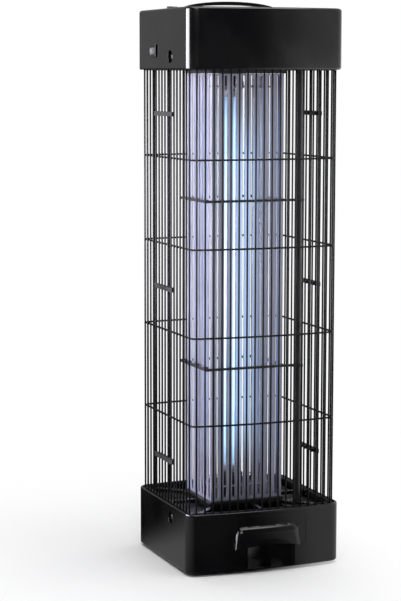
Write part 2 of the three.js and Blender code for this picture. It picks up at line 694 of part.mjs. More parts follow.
function addBraces() {
  const near = SLEEVE_DEPTH / 2 + 0.4;
  const left = SLEEVE_X - SLEEVE_WIDTH / 2 - 5.4;
  const right = SLEEVE_X + SLEEVE_WIDTH / 2 + 0.4;
  const bar = BRACE_BAR;
  for (const [name, side] of [['lower', -1], ['upper', 1]]) {
    const z = BRACE_CENTRE + side * BRACE_SPREAD;
    const [z0, z1] = [z - 1.3, z + 1.3];
    const frame = box(left - bar, right + bar, -near - bar, near + bar, z0, z1);
    const hole = box(left, right, -near, near, z0 - 1, z1 + 1);
    const spacers = [-26, 0, 26].map((y) => box(left - 1, left + 5, y - 1.5, y + 1.5, z0, z1));
    const arm = box(right + 1, CONDUIT.x - 4, -near - bar, -near, z0, z1);
    const clamp = rod(CONDUIT.x, CONDUIT.y, z0, z1, 6.5, 14);
    const bore = rod(CONDUIT.x, CONDUIT.y, z0 - 1, z1 + 1, CONDUIT.radius + GAP, 14);
    const body = union([frame.subtract(hole), ...spacers, arm, clamp]).subtract(bore);
    add(`grid_brace_${name}`, body, MATTE_BLACK);
  }
}

function addConduit() {
  const { x, y, radius } = CONDUIT;
  add('wire_conduit', tube(x, y, BASE_DECK + GAP, CAP_DECK - GAP, radius, 2.4, 12), MATTE_BLACK);
}

// ---------- lamp ----------
function addLamp() {
  const [bottom, top] = [TUBE_BOTTOM, TUBE_TOP];
  const glass = rod(LAMP_X, 0, bottom + LAMP_CAP + GAP, top - LAMP_CAP - GAP, TUBE_RADIUS - 0.4, 20);
  add('lamp_tube', glass, LAMP_GLASS);
  for (const [name, end, inward] of [['bottom', bottom, 1], ['top', top, -1]]) {
    const span = [end, end + inward * LAMP_CAP].sort((a, b) => a - b);
    const pinSpan = [end - inward * PIN_LENGTH, end + inward].sort((a, b) => a - b);
    const pins = [-1, 1].map((side) => rod(LAMP_X + (side * PIN_SPACING) / 2, 0, ...pinSpan, 1.2, 8));
    add(`lamp_cap_${name}`, union([rod(LAMP_X, 0, ...span, TUBE_RADIUS, 20), ...pins]), LAMP_METAL);
  }
}

function addLampholders() {
  const lower = [BASE_DECK + GAP, TUBE_BOTTOM - GAP];
  const upper = [TUBE_TOP + GAP, CAP_DECK + DECK_THICKNESS + 8];
  for (const [name, [z0, z1], mouth] of [['bottom', lower, lower[1]], ['top', upper, upper[0]]]) {
    const body = rod(LAMP_X, 0, z0, z1, HOLDER_RADIUS, 20);
    const depth = PIN_LENGTH + 1;
    const groove = tube(LAMP_X, 0, mouth - depth, mouth + depth, 8.4, 4.2, 16);
    const entry = box(LAMP_X - 1.6, LAMP_X + 1.6, -20, 0, mouth - depth, mouth + depth);
    add(`lampholder_${name}`, cut(body, [groove, entry]), MATTE_BLACK);
  }
}

// ---------- assembly ----------
addFeet();
addBottomScrews();
addBasePlate();
addBaseHousing();
addSideScrews('base', BASE_TOP - SCREW_DROP);
addTrayGuide();
addTray();
addFunnel();
addBaseDeck();
addCapDeck();
addCap();
addSideScrews('cap', CAP_BOTTOM + SCREW_DROP);
addHandlePivots();
addHandle();
addRockerSwitch();
addInlet();
addElectrics();
addCage();
addCageClips();
addInsulators();
addElectrodes();
addInnerGrid();
addBraces();
addConduit();
addLampholders();
addLamp();

export default zapper;
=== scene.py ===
"""Electric bug zapper: the visible pieces, finishes and studio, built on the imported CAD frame."""

import logging
import math
from dataclasses import dataclass
from enum import Enum
from typing import Callable, Sequence

import bmesh
import bpy
from mathutils import Matrix, Vector


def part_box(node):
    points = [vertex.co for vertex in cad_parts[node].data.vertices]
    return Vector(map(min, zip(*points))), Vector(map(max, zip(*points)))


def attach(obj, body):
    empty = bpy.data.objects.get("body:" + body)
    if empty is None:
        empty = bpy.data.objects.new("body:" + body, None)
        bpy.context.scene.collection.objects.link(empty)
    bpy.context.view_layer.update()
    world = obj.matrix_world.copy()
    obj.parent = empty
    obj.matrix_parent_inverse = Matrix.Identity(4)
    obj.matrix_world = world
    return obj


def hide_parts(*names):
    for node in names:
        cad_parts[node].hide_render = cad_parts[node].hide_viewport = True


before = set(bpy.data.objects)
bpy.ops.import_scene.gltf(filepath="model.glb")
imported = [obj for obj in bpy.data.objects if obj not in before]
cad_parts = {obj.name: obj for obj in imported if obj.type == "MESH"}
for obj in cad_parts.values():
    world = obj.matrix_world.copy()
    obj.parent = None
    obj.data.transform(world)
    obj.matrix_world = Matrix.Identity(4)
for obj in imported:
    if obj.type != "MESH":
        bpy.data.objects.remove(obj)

LOG = logging.getLogger("bug_zapper")
MM = 0.001
TOWER = "tower"
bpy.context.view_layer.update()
SIDES = (("left", -1), ("right", 1))
Colour = tuple[float, float, float]
Span = tuple[float, float]
Socket = bpy.types.NodeSocket


# ---------------------------------------------------------------- hand tools
class Bench:
    """Modelling steps done as by hand, each starting with nothing selected."""

    @staticmethod
    def only(obj: bpy.types.Object) -> bpy.types.Object:
        """Leaves obj as the one selected and active object, and returns it."""
        if bpy.context.mode != "OBJECT":
            bpy.ops.object.mode_set(mode="OBJECT")
        bpy.ops.object.select_all(action="DESELECT")
        obj.select_set(True)
        bpy.context.view_layer.objects.active = obj
        return obj

    @staticmethod
    def clear() -> None:
        """Deselects everything in object mode."""
        if bpy.context.mode != "OBJECT":
            bpy.ops.object.mode_set(mode="OBJECT")
        bpy.ops.object.select_all(action="DESELECT")

    @staticmethod
    def named(name: str) -> bpy.types.Object:
        """Names the object that was just added, puts its place into its mesh and returns it."""
        obj = bpy.context.object
        obj.name = name
        obj.data.name = name
        bpy.ops.object.transform_apply(location=True, rotation=True, scale=True)
        return obj

    @classmethod
    def block(cls, name: str, low: Sequence[float], high: Sequence[float]) -> bpy.types.Object:
        """Adds a cube stretched between two corners.

        Args:
            name: the object's name.
            low: lowest corner in metres.
            high: highest corner in metres.

        Returns:
            The new mesh object.
        """
        cls.clear()
        middle = [(a + b) / 2 for a, b in zip(low, high)]
        size = [b - a for a, b in zip(low, high)]
        bpy.ops.mesh.primitive_cube_add(size=1, location=middle, scale=size)
        return cls.named(name)

    @classmethod
    def rod(
        cls, name: str, start: Vector, end: Vector, radius: float, sides: int = 24
    ) -> bpy.types.Object:
        """Adds a straight round rod between two points.

        Args:
            name: the object's name.
            start: centre of one end.
            end: centre of the other end.
            radius: radius in metres.
            sides: number of sides.

        Returns:
            The new mesh object.
        """
        cls.clear()
        span = Vector(end) - Vector(start)
        turn = span.to_track_quat("Z", "Y").to_euler()
        bpy.ops.mesh.primitive_cylinder_add(
            vertices=sides,
            radius=radius,
            depth=span.length,
            location=Vector(start) + span / 2,
            rotation=turn,
        )
        return cls.named(name)

    @classmethod
    def spun(
        cls, name: str, profile: Sequence[tuple[float, float]], sides: int = 32, ring: bool = False
    ) -> bpy.types.Object:
        """Spins a profile of (radius, height) points about the Z axis.

        Args:
            name: the object's name.
            profile: points in order; an open profile starts and ends on the axis.
            sides: steps round the axis.
            ring: True where the profile is a closed loop clear of the axis.

        Returns:
            The new mesh object, closed and facing out.
        """
        cls.clear()
        bpy.ops.mesh.primitive_circle_add(vertices=len(profile), radius=0.01, fill_type="NOTHING")
        obj = cls.named(name)
        for vertex, (radius, height) in zip(obj.data.vertices, profile):
            vertex.co = (radius, 0.0, height)
        bpy.ops.object.mode_set(mode="EDIT")
        if not ring:
            cls.pick_edges(obj, lambda edge: all(v.co.x < 1e-7 for v in edge.verts))
            bpy.ops.mesh.delete(type="EDGE")
        bpy.ops.mesh.select_all(action="SELECT")
        bpy.ops.mesh.spin(steps=sides, angle=math.tau, center=(0, 0, 0), axis=(0, 0, 1))
        cls.close_up(obj)
        return obj

    @classmethod
    def close_up(cls, obj: bpy.types.Object) -> None:
        """Merges doubled vertices and turns all faces outwards."""
        cls.only(obj)
        bpy.ops.object.mode_set(mode="EDIT")
        bpy.ops.mesh.select_all(action="SELECT")
        bpy.ops.mesh.remove_doubles(threshold=0.001 * MM)
        bpy.ops.mesh.normals_make_consistent(inside=False)
        bpy.ops.object.mode_set(mode="OBJECT")

    @staticmethod
    def pick_edges(obj: bpy.types.Object, wanted: Callable[[bmesh.types.BMEdge], bool]) -> None:
        """Selects, in edit mode, only the edges that wanted accepts."""
        bpy.ops.mesh.select_mode(type="EDGE")
        bpy.ops.mesh.select_all(action="DESELECT")
        mesh = bmesh.from_edit_mesh(obj.data)
        for edge in mesh.edges:
            edge.select_set(wanted(edge))
        bmesh.update_edit_mesh(obj.data)

    @staticmethod
    def pick_faces(obj: bpy.types.Object, wanted: Callable[[bmesh.types.BMFace], bool]) -> None:
        """Selects, in edit mode, only the faces that wanted accepts."""
        bpy.ops.mesh.select_mode(type="FACE")
        bpy.ops.mesh.select_all(action="DESELECT")
        mesh = bmesh.from_edit_mesh(obj.data)
        for face in mesh.faces:
            face.select_set(wanted(face))
        bmesh.update_edit_mesh(obj.data)

    @classmethod
    def modify(cls, obj: bpy.types.Object, kind: str, **settings: object) -> None:
        """Adds a modifier with these settings and applies it."""
        cls.only(obj)
        modifier = obj.modifiers.new(kind.title(), kind)
        for key, value in settings.items():
            setattr(modifier, key, value)
        bpy.ops.object.modifier_apply(modifier=modifier.name)

    @classmethod
    def round_edges(
        cls, obj: bpy.types.Object, width: float, segments: int = 3, angle: float = 40.0
    ) -> None:
        """Bevels every edge sharper than angle degrees."""
        cls.modify(
            obj,
            "BEVEL",
            width=width,
            segments=segments,
            limit_method="ANGLE",
            angle_limit=math.radians(angle),
            use_clamp_overlap=True,
        )

    @classmethod
    def combine(cls, obj: bpy.types.Object, tool: bpy.types.Object, how: str) -> None:
        """Joins or cuts obj with tool, and removes tool.

        Args:
            obj: the piece that is kept.
            tool: the cutter or addition.
            how: UNION, DIFFERENCE or INTERSECT.
        """
        cls.modify(obj, "BOOLEAN", object=tool, operation=how, solver="EXACT")
        bpy.data.objects.remove(tool, do_unlink=True)

    @classmethod
    def smooth(cls, obj: bpy.types.Object, angle: float = 35.0, weighted: bool = False) -> None:
        """Shades obj smooth except across edges sharper than angle degrees.

        Args:
            obj: the piece.
            angle: sharpest edge that is still shaded smooth, in degrees.
            weighted: True to keep broad faces flat where small bevels join them.
        """
        cls.only(obj)
        bpy.ops.object.shade_smooth_by_angle(angle=math.radians(angle))
        if weighted:
            cls.modify(obj, "WEIGHTED_NORMAL", weight=100, keep_sharp=True)

    @classmethod
    def join(cls, name: str, parts: Sequence[bpy.types.Object]) -> bpy.types.Object:
        """Joins parts into one object with that name."""
        cls.only(parts[0])
        for part in parts[1:]:
            part.select_set(True)
        bpy.ops.object.join()
        parts[0].name = name
        parts[0].data.name = name
        return parts[0]

    @classmethod
    def copy(cls, obj: bpy.types.Object, name: str, move: Matrix) -> bpy.types.Object:
        """Copies obj with its own mesh and moves the copy's mesh by a matrix."""
        twin = obj.copy()
        twin.data = obj.data.copy()
        twin.name = name
        twin.data.name = name
        bpy.context.collection.objects.link(twin)
        twin.data.transform(move)
        return twin

    @classmethod
    def from_cad(
        cls, node: str, bevel: float, segments: int = 2, name: str | None = None
    ) -> bpy.types.Object:
        """Copies a CAD node, cleans its flat faces and rounds its edges.

        Args:
            node: the CAD node's name.
            bevel: edge radius in metres.
            segments: steps across each rounded edge.
            name: the new piece's name, or None for the node's name with _body.

        Returns:
            The finished copy.
        """
        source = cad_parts[node]
        piece = cls.copy(source, name or f"{node}_body", Matrix.Identity(4))
        piece.parent = None
        for key in list(piece.keys()):
            del piece[key]
        piece.data.materials.clear()
        cls.close_up(piece)
        cls.modify(piece, "DECIMATE", decimate_type="DISSOLVE", angle_limit=math.radians(1.0))
        if bevel:
            cls.round_edges(piece, bevel, segments)
        cls.smooth(piece, weighted=True)
        return piece


# ---------------------------------------------------------------- finishes
class Group(Enum):
    """Names of the shader node groups that the finishes share."""

    SMUDGE = "smudged_surface"
    GRAIN = "moulded_grain"
    BRUSHED = "brushed_metal"
    SCRATCH = "hairline_scratches"


def math_of(tree: bpy.types.NodeTree, how: str, *values: Socket | float) -> Socket:
    """Adds one Math node.

    Args:
        tree: the node tree to add to.
        how: the operation, such as ADD or MAXIMUM.
        values: a socket to link or a constant for each input, in order.

    Returns:
        The node's output.
    """
    node = tree.nodes.new("ShaderNodeMath")
    node.operation = how
    for value, given in zip(values, node.inputs):
        if isinstance(value, Socket):
            tree.links.new(value, given)
        else:
            given.default_value = value
    return node.outputs[0]


def spread(
    tree: bpy.types.NodeTree, value: Socket, source: Span, target: Span = (0.0, 1.0),
    how: str = "SMOOTHSTEP",
) -> Socket:
    """Maps a value from one range to another.

    Args:
        tree: the node tree to add to.
        value: the socket to map.
        source: the range that the value comes in.
        target: the range that it leaves in.
        how: SMOOTHSTEP or LINEAR.

    Returns:
        The node's output.
    """
    node = tree.nodes.new("ShaderNodeMapRange")
    node.interpolation_type = how
    node.inputs["From Min"].default_value, node.inputs["From Max"].default_value = source
    node.inputs["To Min"].default_value, node.inputs["To Max"].default_value = target
    tree.links.new(value, node.inputs["Value"])
    return node.outputs["Result"]


def split_xyz(tree: bpy.types.NodeTree, vector: Socket) -> bpy.types.Node:
    """Adds a Separate XYZ node behind this socket and returns it."""
    node = tree.nodes.new("ShaderNodeSeparateXYZ")
    tree.links.new(vector, node.inputs["Vector"])
    return node


class NodeShop:
    """Builds the shared shader node groups once."""

    def __init__(self) -> None:
        """Makes every group."""
        self.smudge()
        self.grain()
        self.brushed()
        self.scratches()

    @staticmethod
    def start(group: Group) -> tuple[bpy.types.NodeTree, bpy.types.Node, bpy.types.Node]:
        """Makes an empty group with Vector and Scale inputs and one Mask output.

        Args:
            group: which group it is.

        Returns:
            The node tree, its input node and its output node.
        """
        tree = bpy.data.node_groups.new(group.value, "ShaderNodeTree")
        tree.interface.new_socket("Vector", in_out="INPUT", socket_type="NodeSocketVector")
        tree.interface.new_socket("Scale", in_out="INPUT", socket_type="NodeSocketFloat")
        tree.interface.new_socket("Mask", in_out="OUTPUT", socket_type="NodeSocketFloat")
        return tree, tree.nodes.new("NodeGroupInput"), tree.nodes.new("NodeGroupOutput")

    @staticmethod
    def noise(
        tree: bpy.types.NodeTree, vector: Socket, scale: Socket, detail: float, roughness: float
    ) -> Socket:
        """Adds a noise texture and returns its value.

        Args:
            tree: the node tree to add to.
            vector: where it is sampled.
            scale: its scale.
            detail: number of octaves.
            roughness: how strong the finer octaves are.

        Returns:
            The noise's value.
        """
        node = tree.nodes.new("ShaderNodeTexNoise")
        node.inputs["Detail"].default_value = detail
        node.inputs["Roughness"].default_value = roughness
        tree.links.new(vector, node.inputs["Vector"])
        tree.links.new(scale, node.inputs["Scale"])
        return node.outputs["Fac"]

    def smudge(self) -> None:
        """Soft handling marks and a thin film of dust, as a slow mask."""
        tree, given, out = self.start(Group.SMUDGE)
        vector, scale = given.outputs["Vector"], given.outputs["Scale"]
        broad = self.noise(tree, vector, scale, 5.0, 0.55)
        fine = self.noise(tree, vector, math_of(tree, "MULTIPLY", scale, 9.0), 3.0, 0.7)
        mask = math_of(tree, "MULTIPLY_ADD", fine, 0.35, spread(tree, broad, (0.38, 0.72)))
        tree.links.new(mask, out.inputs["Mask"])

    def grain(self) -> None:
        """The fine pebbled texture of a moulded or powder-coated skin."""
        tree, given, out = self.start(Group.GRAIN)
        vector, scale = given.outputs["Vector"], given.outputs["Scale"]
        cells = tree.nodes.new("ShaderNodeTexVoronoi")
        cells.feature = "SMOOTH_F1"
        tree.links.new(vector, cells.inputs["Vector"])
        tree.links.new(scale, cells.inputs["Scale"])
        soft = self.noise(tree, vector, scale, 2.0, 0.5)
        mask = math_of(tree, "MULTIPLY_ADD", cells.outputs["Distance"], 0.6, soft)
        tree.links.new(mask, out.inputs["Mask"])

    def brushed(self) -> None:
        """Long streaks along Z, as rolled or brushed sheet has."""
        tree, given, out = self.start(Group.BRUSHED)
        squeeze = tree.nodes.new("ShaderNodeVectorMath")
        squeeze.operation = "MULTIPLY"
        squeeze.inputs[1].default_value = (1.0, 1.0, 0.03)
        tree.links.new(given.outputs["Vector"], squeeze.inputs[0])
        streaks = self.noise(tree, squeeze.outputs["Vector"], given.outputs["Scale"], 6.0, 0.65)
        tree.links.new(streaks, out.inputs["Mask"])

    def scratches(self) -> None:
        """Sparse hairlines in two directions, from thin slices of stretched noise."""
        tree, given, out = self.start(Group.SCRATCH)
        slices = []
        for turn in (0.5, 2.1):
            mapping = tree.nodes.new("ShaderNodeMapping")
            mapping.inputs["Rotation"].default_value = (turn, turn * 0.7, turn)
            mapping.inputs["Scale"].default_value = (1.0, 0.05, 1.0)
            tree.links.new(given.outputs["Vector"], mapping.inputs["Vector"])
            lines = self.noise(tree, mapping.outputs["Vector"], given.outputs["Scale"], 1.0, 0.4)
            slices.append(spread(tree, lines, (0.705, 0.72), how="LINEAR"))
        tree.links.new(math_of(tree, "MAXIMUM", *slices), out.inputs["Mask"])


@dataclass(frozen=True)
class Finish:
    """One surface finish: two colours and two roughnesses that a mask mixes, and a bump.

    The mask of the pattern group drives colour and roughness, and the bump group drives relief.
    """

    name: str
    dark: Colour
    light: Colour
    smooth: float
    rough: float
    metallic: float = 0.0
    pattern: Group = Group.SMUDGE
    pattern_scale: float = 18.0
    bump: Group = Group.GRAIN
    bump_scale: float = 900.0
    bump_depth: float = 0.00002
    specular: float = 0.5
    tint: Colour | None = None
    glow: Colour | None = None
    glow_strength: float = 0.0
    # strength of painted spill light from the lamp, glowing on the sheet as emission
    painted_spill_glow: float = 0.0

    def build(self) -> bpy.types.Material:
        """Makes the material's nodes and returns it."""
        material = bpy.data.materials.new(self.name)
        material.use_nodes = True
        tree = material.node_tree
        shader = tree.nodes["Principled BSDF"]
        shader.inputs["Metallic"].default_value = self.metallic
        shader.inputs["Specular IOR Level"].default_value = self.specular
        place = tree.nodes.new("ShaderNodeTexCoord")
        mask = self.group(tree, place, self.pattern, self.pattern_scale)
        relief = self.group(tree, place, self.bump, self.bump_scale)
        self.mix_colour(tree, mask, shader)
        self.mix_roughness(tree, mask, shader)
        bump = tree.nodes.new("ShaderNodeBump")
        bump.inputs["Distance"].default_value = self.bump_depth
        tree.links.new(relief.outputs["Mask"], bump.inputs["Height"])
        tree.links.new(bump.outputs["Normal"], shader.inputs["Normal"])
        if self.glow is not None:
            self.add_glow(tree, place, shader)
        if self.painted_spill_glow:
            self.add_painted_spill_glow(tree, place, shader)
        return material

    @staticmethod
    def group(
        tree: bpy.types.NodeTree, place: bpy.types.Node, group: Group, scale: float
    ) -> bpy.types.Node:
        """Places a shared node group on Object coordinates at this scale."""
        node = tree.nodes.new("ShaderNodeGroup")
        node.node_tree = bpy.data.node_groups[group.value]
        node.inputs["Scale"].default_value = scale
        tree.links.new(place.outputs["Object"], node.inputs["Vector"])
        return node

    def mix_colour(
        self, tree: bpy.types.NodeTree, mask: bpy.types.Node, shader: bpy.types.Node
    ) -> None:
        """Drives Base Color between the dark and the light colour."""
        ramp = tree.nodes.new("ShaderNodeValToRGB")
        ramp.color_ramp.elements[0].color = (*self.dark, 1.0)
        ramp.color_ramp.elements[1].color = (*self.light, 1.0)
        if self.tint is not None:
            ramp.color_ramp.elements.new(0.5).color = (*self.tint, 1.0)
        tree.links.new(mask.outputs["Mask"], ramp.inputs["Fac"])
        tree.links.new(ramp.outputs["Color"], shader.inputs["Base Color"])

    def mix_roughness(
        self, tree: bpy.types.NodeTree, mask: bpy.types.Node, shader: bpy.types.Node
    ) -> None:
        """Drives Roughness between the smooth and the rough value."""
        result = spread(
            tree, mask.outputs["Mask"], (0.0, 1.0), (self.smooth, self.rough), how="LINEAR"
        )
        tree.links.new(result, shader.inputs["Roughness"])

    def add_glow(
        self, tree: bpy.types.NodeTree, place: bpy.types.Node, shader: bpy.types.Node
    ) -> None:
        """Lights the surface, brightest at mid height and fading to its ends."""
        low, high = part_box("lamp_tube")
        height = split_xyz(tree, place.outputs["Object"]).outputs["Z"]
        ramp = tree.nodes.new("ShaderNodeValToRGB")
        ends = tuple(0.35 * channel for channel in self.glow)
        for element in ramp.color_ramp.elements:
            element.color = (*ends, 1.0)
        for position, colour in ((0.07, self.glow), (0.5, (0.86, 0.97, 1.0)), (0.93, self.glow)):
            ramp.color_ramp.elements.new(position).color = (*colour, 1.0)
        shader.inputs["Emission Strength"].default_value = self.glow_strength
        share = spread(tree, height, (low[2], high[2]), how="LINEAR")
        tree.links.new(share, ramp.inputs["Fac"])
        tree.links.new(ramp.outputs["Color"], shader.inputs["Emission Color"])

    def add_painted_spill_glow(
        self, tree: bpy.types.NodeTree, place: bpy.types.Node, shader: bpy.types.Node
    ) -> None:
        """Paints the lamp's blue spill light onto the strips in front of and behind the tube, as
        emission.
        """
        low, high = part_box("lamp_tube")
        half = (high[2] - low[2]) / 2
        centre = tree.nodes.new("ShaderNodeMapping")
        centre.inputs["Location"].default_value = [-(a + b) / 2 for a, b in zip(low, high)]
        tree.links.new(place.outputs["Object"], centre.inputs["Vector"])
        split = split_xyz(tree, centre.outputs["Vector"])
        aside = math_of(tree, "ABSOLUTE", split.outputs["X"])
        height = math_of(tree, "ABSOLUTE", split.outputs["Z"])
        near = spread(tree, aside, (24 * MM, 6 * MM))
        ends = spread(tree, height, (half, 130 * MM))
        blue = tree.nodes.new("ShaderNodeValToRGB")
        blue.color_ramp.elements[0].color = (0.0, 0.0, 0.0, 1.0)
        blue.color_ramp.elements[1].color = (0.34, 0.6, 1.0, 1.0)
        # painted spill light: the strips nearest the tube glow blue, fading towards their ends
        shader.inputs["Emission Strength"].default_value = self.painted_spill_glow
        tree.links.new(math_of(tree, "MULTIPLY", near, ends), blue.inputs["Fac"])
        tree.links.new(blue.outputs["Color"], shader.inputs["Emission Color"])


class Paint:
    """Every finish of the zapper, built once and handed out by record slot."""

    def __init__(self) -> None:
        """Builds one material for each record slot."""
        finishes = {
            "gloss_black": Finish(
                "gloss_black_abs", (0.0028, 0.0026, 0.0032), (0.0055, 0.0053, 0.006), 0.11, 0.19,
                bump=Group.SCRATCH, bump_scale=55.0, bump_depth=0.000004,
            ),
            "matte_black": Finish(
                "satin_black_abs", (0.007, 0.007, 0.0075), (0.016, 0.016, 0.017), 0.42, 0.58,
                bump_depth=0.00003,
            ),
            "insulating_plastic": Finish(
                "insulator_black", (0.008, 0.008, 0.009), (0.02, 0.02, 0.021), 0.34, 0.5,
                bump_depth=0.00002,
            ),
            "cage_wire": Finish(
                "black_powder_coat", (0.0025, 0.0025, 0.003), (0.006, 0.006, 0.007), 0.34, 0.5,
                bump_scale=1500.0, bump_depth=0.00003, specular=0.3,
            ),
            "electrode_sheet": Finish(
                "rolled_aluminium", (0.18, 0.185, 0.27), (0.69, 0.7, 0.86), 0.32, 0.52,
                metallic=0.8, pattern=Group.BRUSHED, pattern_scale=300.0,
                bump=Group.BRUSHED, bump_scale=420.0, bump_depth=0.00006, tint=(0.43, 0.44, 0.58),
                # painted blue spill light from the lamp, as emission on the strips
                painted_spill_glow=0.6,
            ),
            "lamp_metal": Finish(
                "lamp_end_metal", (0.55, 0.56, 0.58), (0.74, 0.75, 0.77), 0.26, 0.42,
                metallic=1.0, bump=Group.SCRATCH, bump_scale=90.0, bump_depth=0.00002,
            ),
            "lamp_glass": Finish(
                "phosphor_glass", (0.5, 0.62, 0.8), (0.62, 0.74, 0.9), 0.12, 0.22,
                bump_depth=0.000006, glow=(0.36, 0.64, 0.95), glow_strength=1.35,
            ),
            "rubber": Finish(
                "black_rubber", (0.012, 0.012, 0.012), (0.03, 0.03, 0.03), 0.7, 0.9,
                bump_depth=0.00006,
            ),
            "steel": Finish(
                "zinc_steel", (0.4, 0.41, 0.43), (0.62, 0.62, 0.6), 0.26, 0.45,
                metallic=1.0, bump=Group.SCRATCH, bump_scale=120.0, bump_depth=0.00002,
            ),
            "black_screw": Finish(
                "black_oxide_steel", (0.012, 0.012, 0.013), (0.03, 0.03, 0.032), 0.3, 0.5,
                metallic=0.3, bump=Group.SCRATCH, bump_scale=120.0, bump_depth=0.00002,
            ),
            "copper": Finish(
                "varnished_copper", (0.32, 0.12, 0.05), (0.55, 0.26, 0.11), 0.25, 0.42,
                metallic=0.85, pattern=Group.BRUSHED, pattern_scale=300.0,
            ),
            "board": Finish(
                "green_solder_mask", (0.01, 0.06, 0.022), (0.02, 0.11, 0.04), 0.3, 0.45,
                bump_scale=500.0,
            ),
            "pale_plastic": Finish(
                "off_white_plastic", (0.62, 0.6, 0.54), (0.74, 0.72, 0.66), 0.35, 0.5,
                bump_depth=0.00003,
            ),
            "grey_plastic": Finish(
                "grey_potting_case", (0.07, 0.075, 0.08), (0.12, 0.125, 0.13), 0.4, 0.6,
                bump_depth=0.00005,
            ),
        }
        self.materials = {slot: finish.build() for slot, finish in finishes.items()}
        ink = Finish("pad_printed_white", (0.6, 0.6, 0.6), (0.72, 0.72, 0.7), 0.4, 0.55)
        self.ink = ink.build()

    def dress(
        self, obj: bpy.types.Object, slot: str, nodes: Sequence[str] = (), body: str = TOWER
    ) -> None:
        """Gives a piece its finish, its body and the CAD nodes that it stands for.

        Args:
            obj: the finished piece.
            slot: the record's material slot.
            nodes: CAD nodes that it replaces.
            body: the CAD body that it moves with.
        """
        obj.data.materials.clear()
        obj.data.materials.append(self.materials[slot])
        if nodes:
            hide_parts(*nodes)
        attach(obj, body)
        faces = len(obj.data.polygons)
        LOG.info("piece %s: %d faces, %s, rides on %s", obj.name, faces, slot, body)

    def part(self, node: str, slot: str, *rounding: float) -> None:
        """Takes a fixed CAD node's own shape, rounds its edges and dresses it.

        Args:
            node: the CAD node.
            slot: the record's material slot.
            rounding: the bevel's width and, if it isn't the usual one, its segments.
        """
        self.dress(Bench.from_cad(node, *rounding), slot, [node])


# ---------------------------------------------------------------- shared outline
@dataclass(frozen=True)
class BowedOutline:
    """The rounded square, bowed at front and rear, that housings, decks and cage share."""

    half_width: float
    half_depth: float
    bow: float = 7 * MM
    corner: float = 14 * MM
    bow_steps: int = 28
    corner_steps: int = 10

    @classmethod
    def of_housing(cls) -> "BowedOutline":
        """Reads the outline's size from the base housing's box."""
        low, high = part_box("base_housing")
        return cls((high[0] - low[0]) / 2, (high[1] - low[1]) / 2 - cls.bow)

    def points(self, inset: float = 0.0) -> list[Vector]:
        """Walks the outline once, counterclockwise from the front left.

        Args:
            inset: distance inside the housing's outer face.

        Returns:
            Points in the XY plane.
        """
        half_width = self.half_width - inset
        half_depth = self.half_depth - inset
        corner = max(self.corner - inset, 2 * MM)
        radius = (half_width**2 + self.bow**2) / (2 * self.bow)
        centre = radius - self.bow - half_depth
        corner_x = half_width - corner
        corner_y = centre - math.sqrt((radius - corner) ** 2 - corner_x**2)
        swing = math.atan2(corner_x, centre - corner_y)
        quarter = math.pi / 2
        arcs = (
            (0.0, centre, radius, -quarter - swing, -quarter + swing, self.bow_steps),
            (corner_x, corner_y, corner, -quarter + swing, 0.0, self.corner_steps),
            (corner_x, -corner_y, corner, 0.0, quarter - swing, self.corner_steps),
            (0.0, -centre, radius, quarter - swing, quarter + swing, self.bow_steps),
            (-corner_x, -corner_y, corner, quarter + swing, 2 * quarter, self.corner_steps),
            (-corner_x, corner_y, corner, 2 * quarter, 3 * quarter - swing, self.corner_steps),
        )
        points = []
        for x, y, arc_radius, start, end, steps in arcs:
            for i in range(steps):
                angle = start + (end - start) * i / steps
                along, across = arc_radius * math.cos(angle), arc_radius * math.sin(angle)
                points.append(Vector((x + along, y + across, 0)))
        return points

    def front(self, x: float) -> float:
        """Y of the bowed front face at this x, away from the corners."""
        radius = (self.half_width**2 + self.bow**2) / (2 * self.bow)
        centre = radius - self.bow - self.half_depth
        return centre - math.sqrt(radius**2 - x**2)

    def even_places(self, inset: float, count: int) -> list[Vector]:
        """Spreads places evenly round the outline, half a step off the middle of the right side.

        Args:
            inset: distance inside the housing's outer face.
            count: number of places.

        Returns:
            One point for each place.
        """
        path = self.points(inset)
        start = next(
            i for i, p in enumerate(path) if p.x > 0 > p.y and path[(i + 1) % len(path)].y >= 0
        )
        first = Vector((path[start].x, 0.0, 0.0))
        path = [first] + path[start + 1:] + path[: start + 1]
        lengths = [(path[(i + 1) % len(path)] - p).length for i, p in enumerate(path)]
        total = sum(lengths)
        places = []
        for i in range(count):
            rest = (i + 0.5) * total / count
            leg = 0
            while rest > lengths[leg]:
                rest -= lengths[leg]
                leg += 1
            step = path[(leg + 1) % len(path)] - path[leg]
            places.append(path[leg] + step.normalized() * rest)
        return places

    def shell(
        self, name: str, levels: Sequence[tuple[float, float]], hollow: bool = False
    ) -> bpy.types.Object:
        """Extrudes the outline through a list of levels into one closed wall.

        Args:
            name: the object's name.
            levels: (z, inset) in metres, in the order in which the skin runs.
            hollow: True where the last level returns to the first, open at both ends.

        Returns:
            The closed shell.
        """
        Bench.clear()
        ring = self.points(levels[0][1])
        fill = "NOTHING" if hollow else "NGON"
        bpy.ops.mesh.primitive_circle_add(vertices=len(ring), radius=0.05, fill_type=fill)
        obj = Bench.named(name)
        for vertex, point in zip(obj.data.vertices, ring):
            vertex.co = (point.x, point.y, levels[0][0])
        bpy.ops.object.mode_set(mode="EDIT")
        bpy.ops.mesh.select_all(action="SELECT")
        for z, inset in levels[1:]:
            bpy.ops.mesh.extrude_region_move()
            target = self.points(inset)
            mesh = bmesh.from_edit_mesh(obj.data)
            seats = {(round(p.x, 7), round(p.y, 7)): i for i, p in enumerate(ring)}
            for vertex in (v for v in mesh.verts if v.select):
                point = target[seats[(round(vertex.co.x, 7), round(vertex.co.y, 7))]]
                vertex.co = (point.x, point.y, z)
            bmesh.update_edit_mesh(obj.data)
            ring = [Vector((round_float(p.x), round_float(p.y), 0)) for p in target]
        Bench.close_up(obj)
        return obj


def round_float(value: float) -> float:
    """The value as a mesh stores it, in 32 bits."""
    return Vector((value, 0.0, 0.0)).x


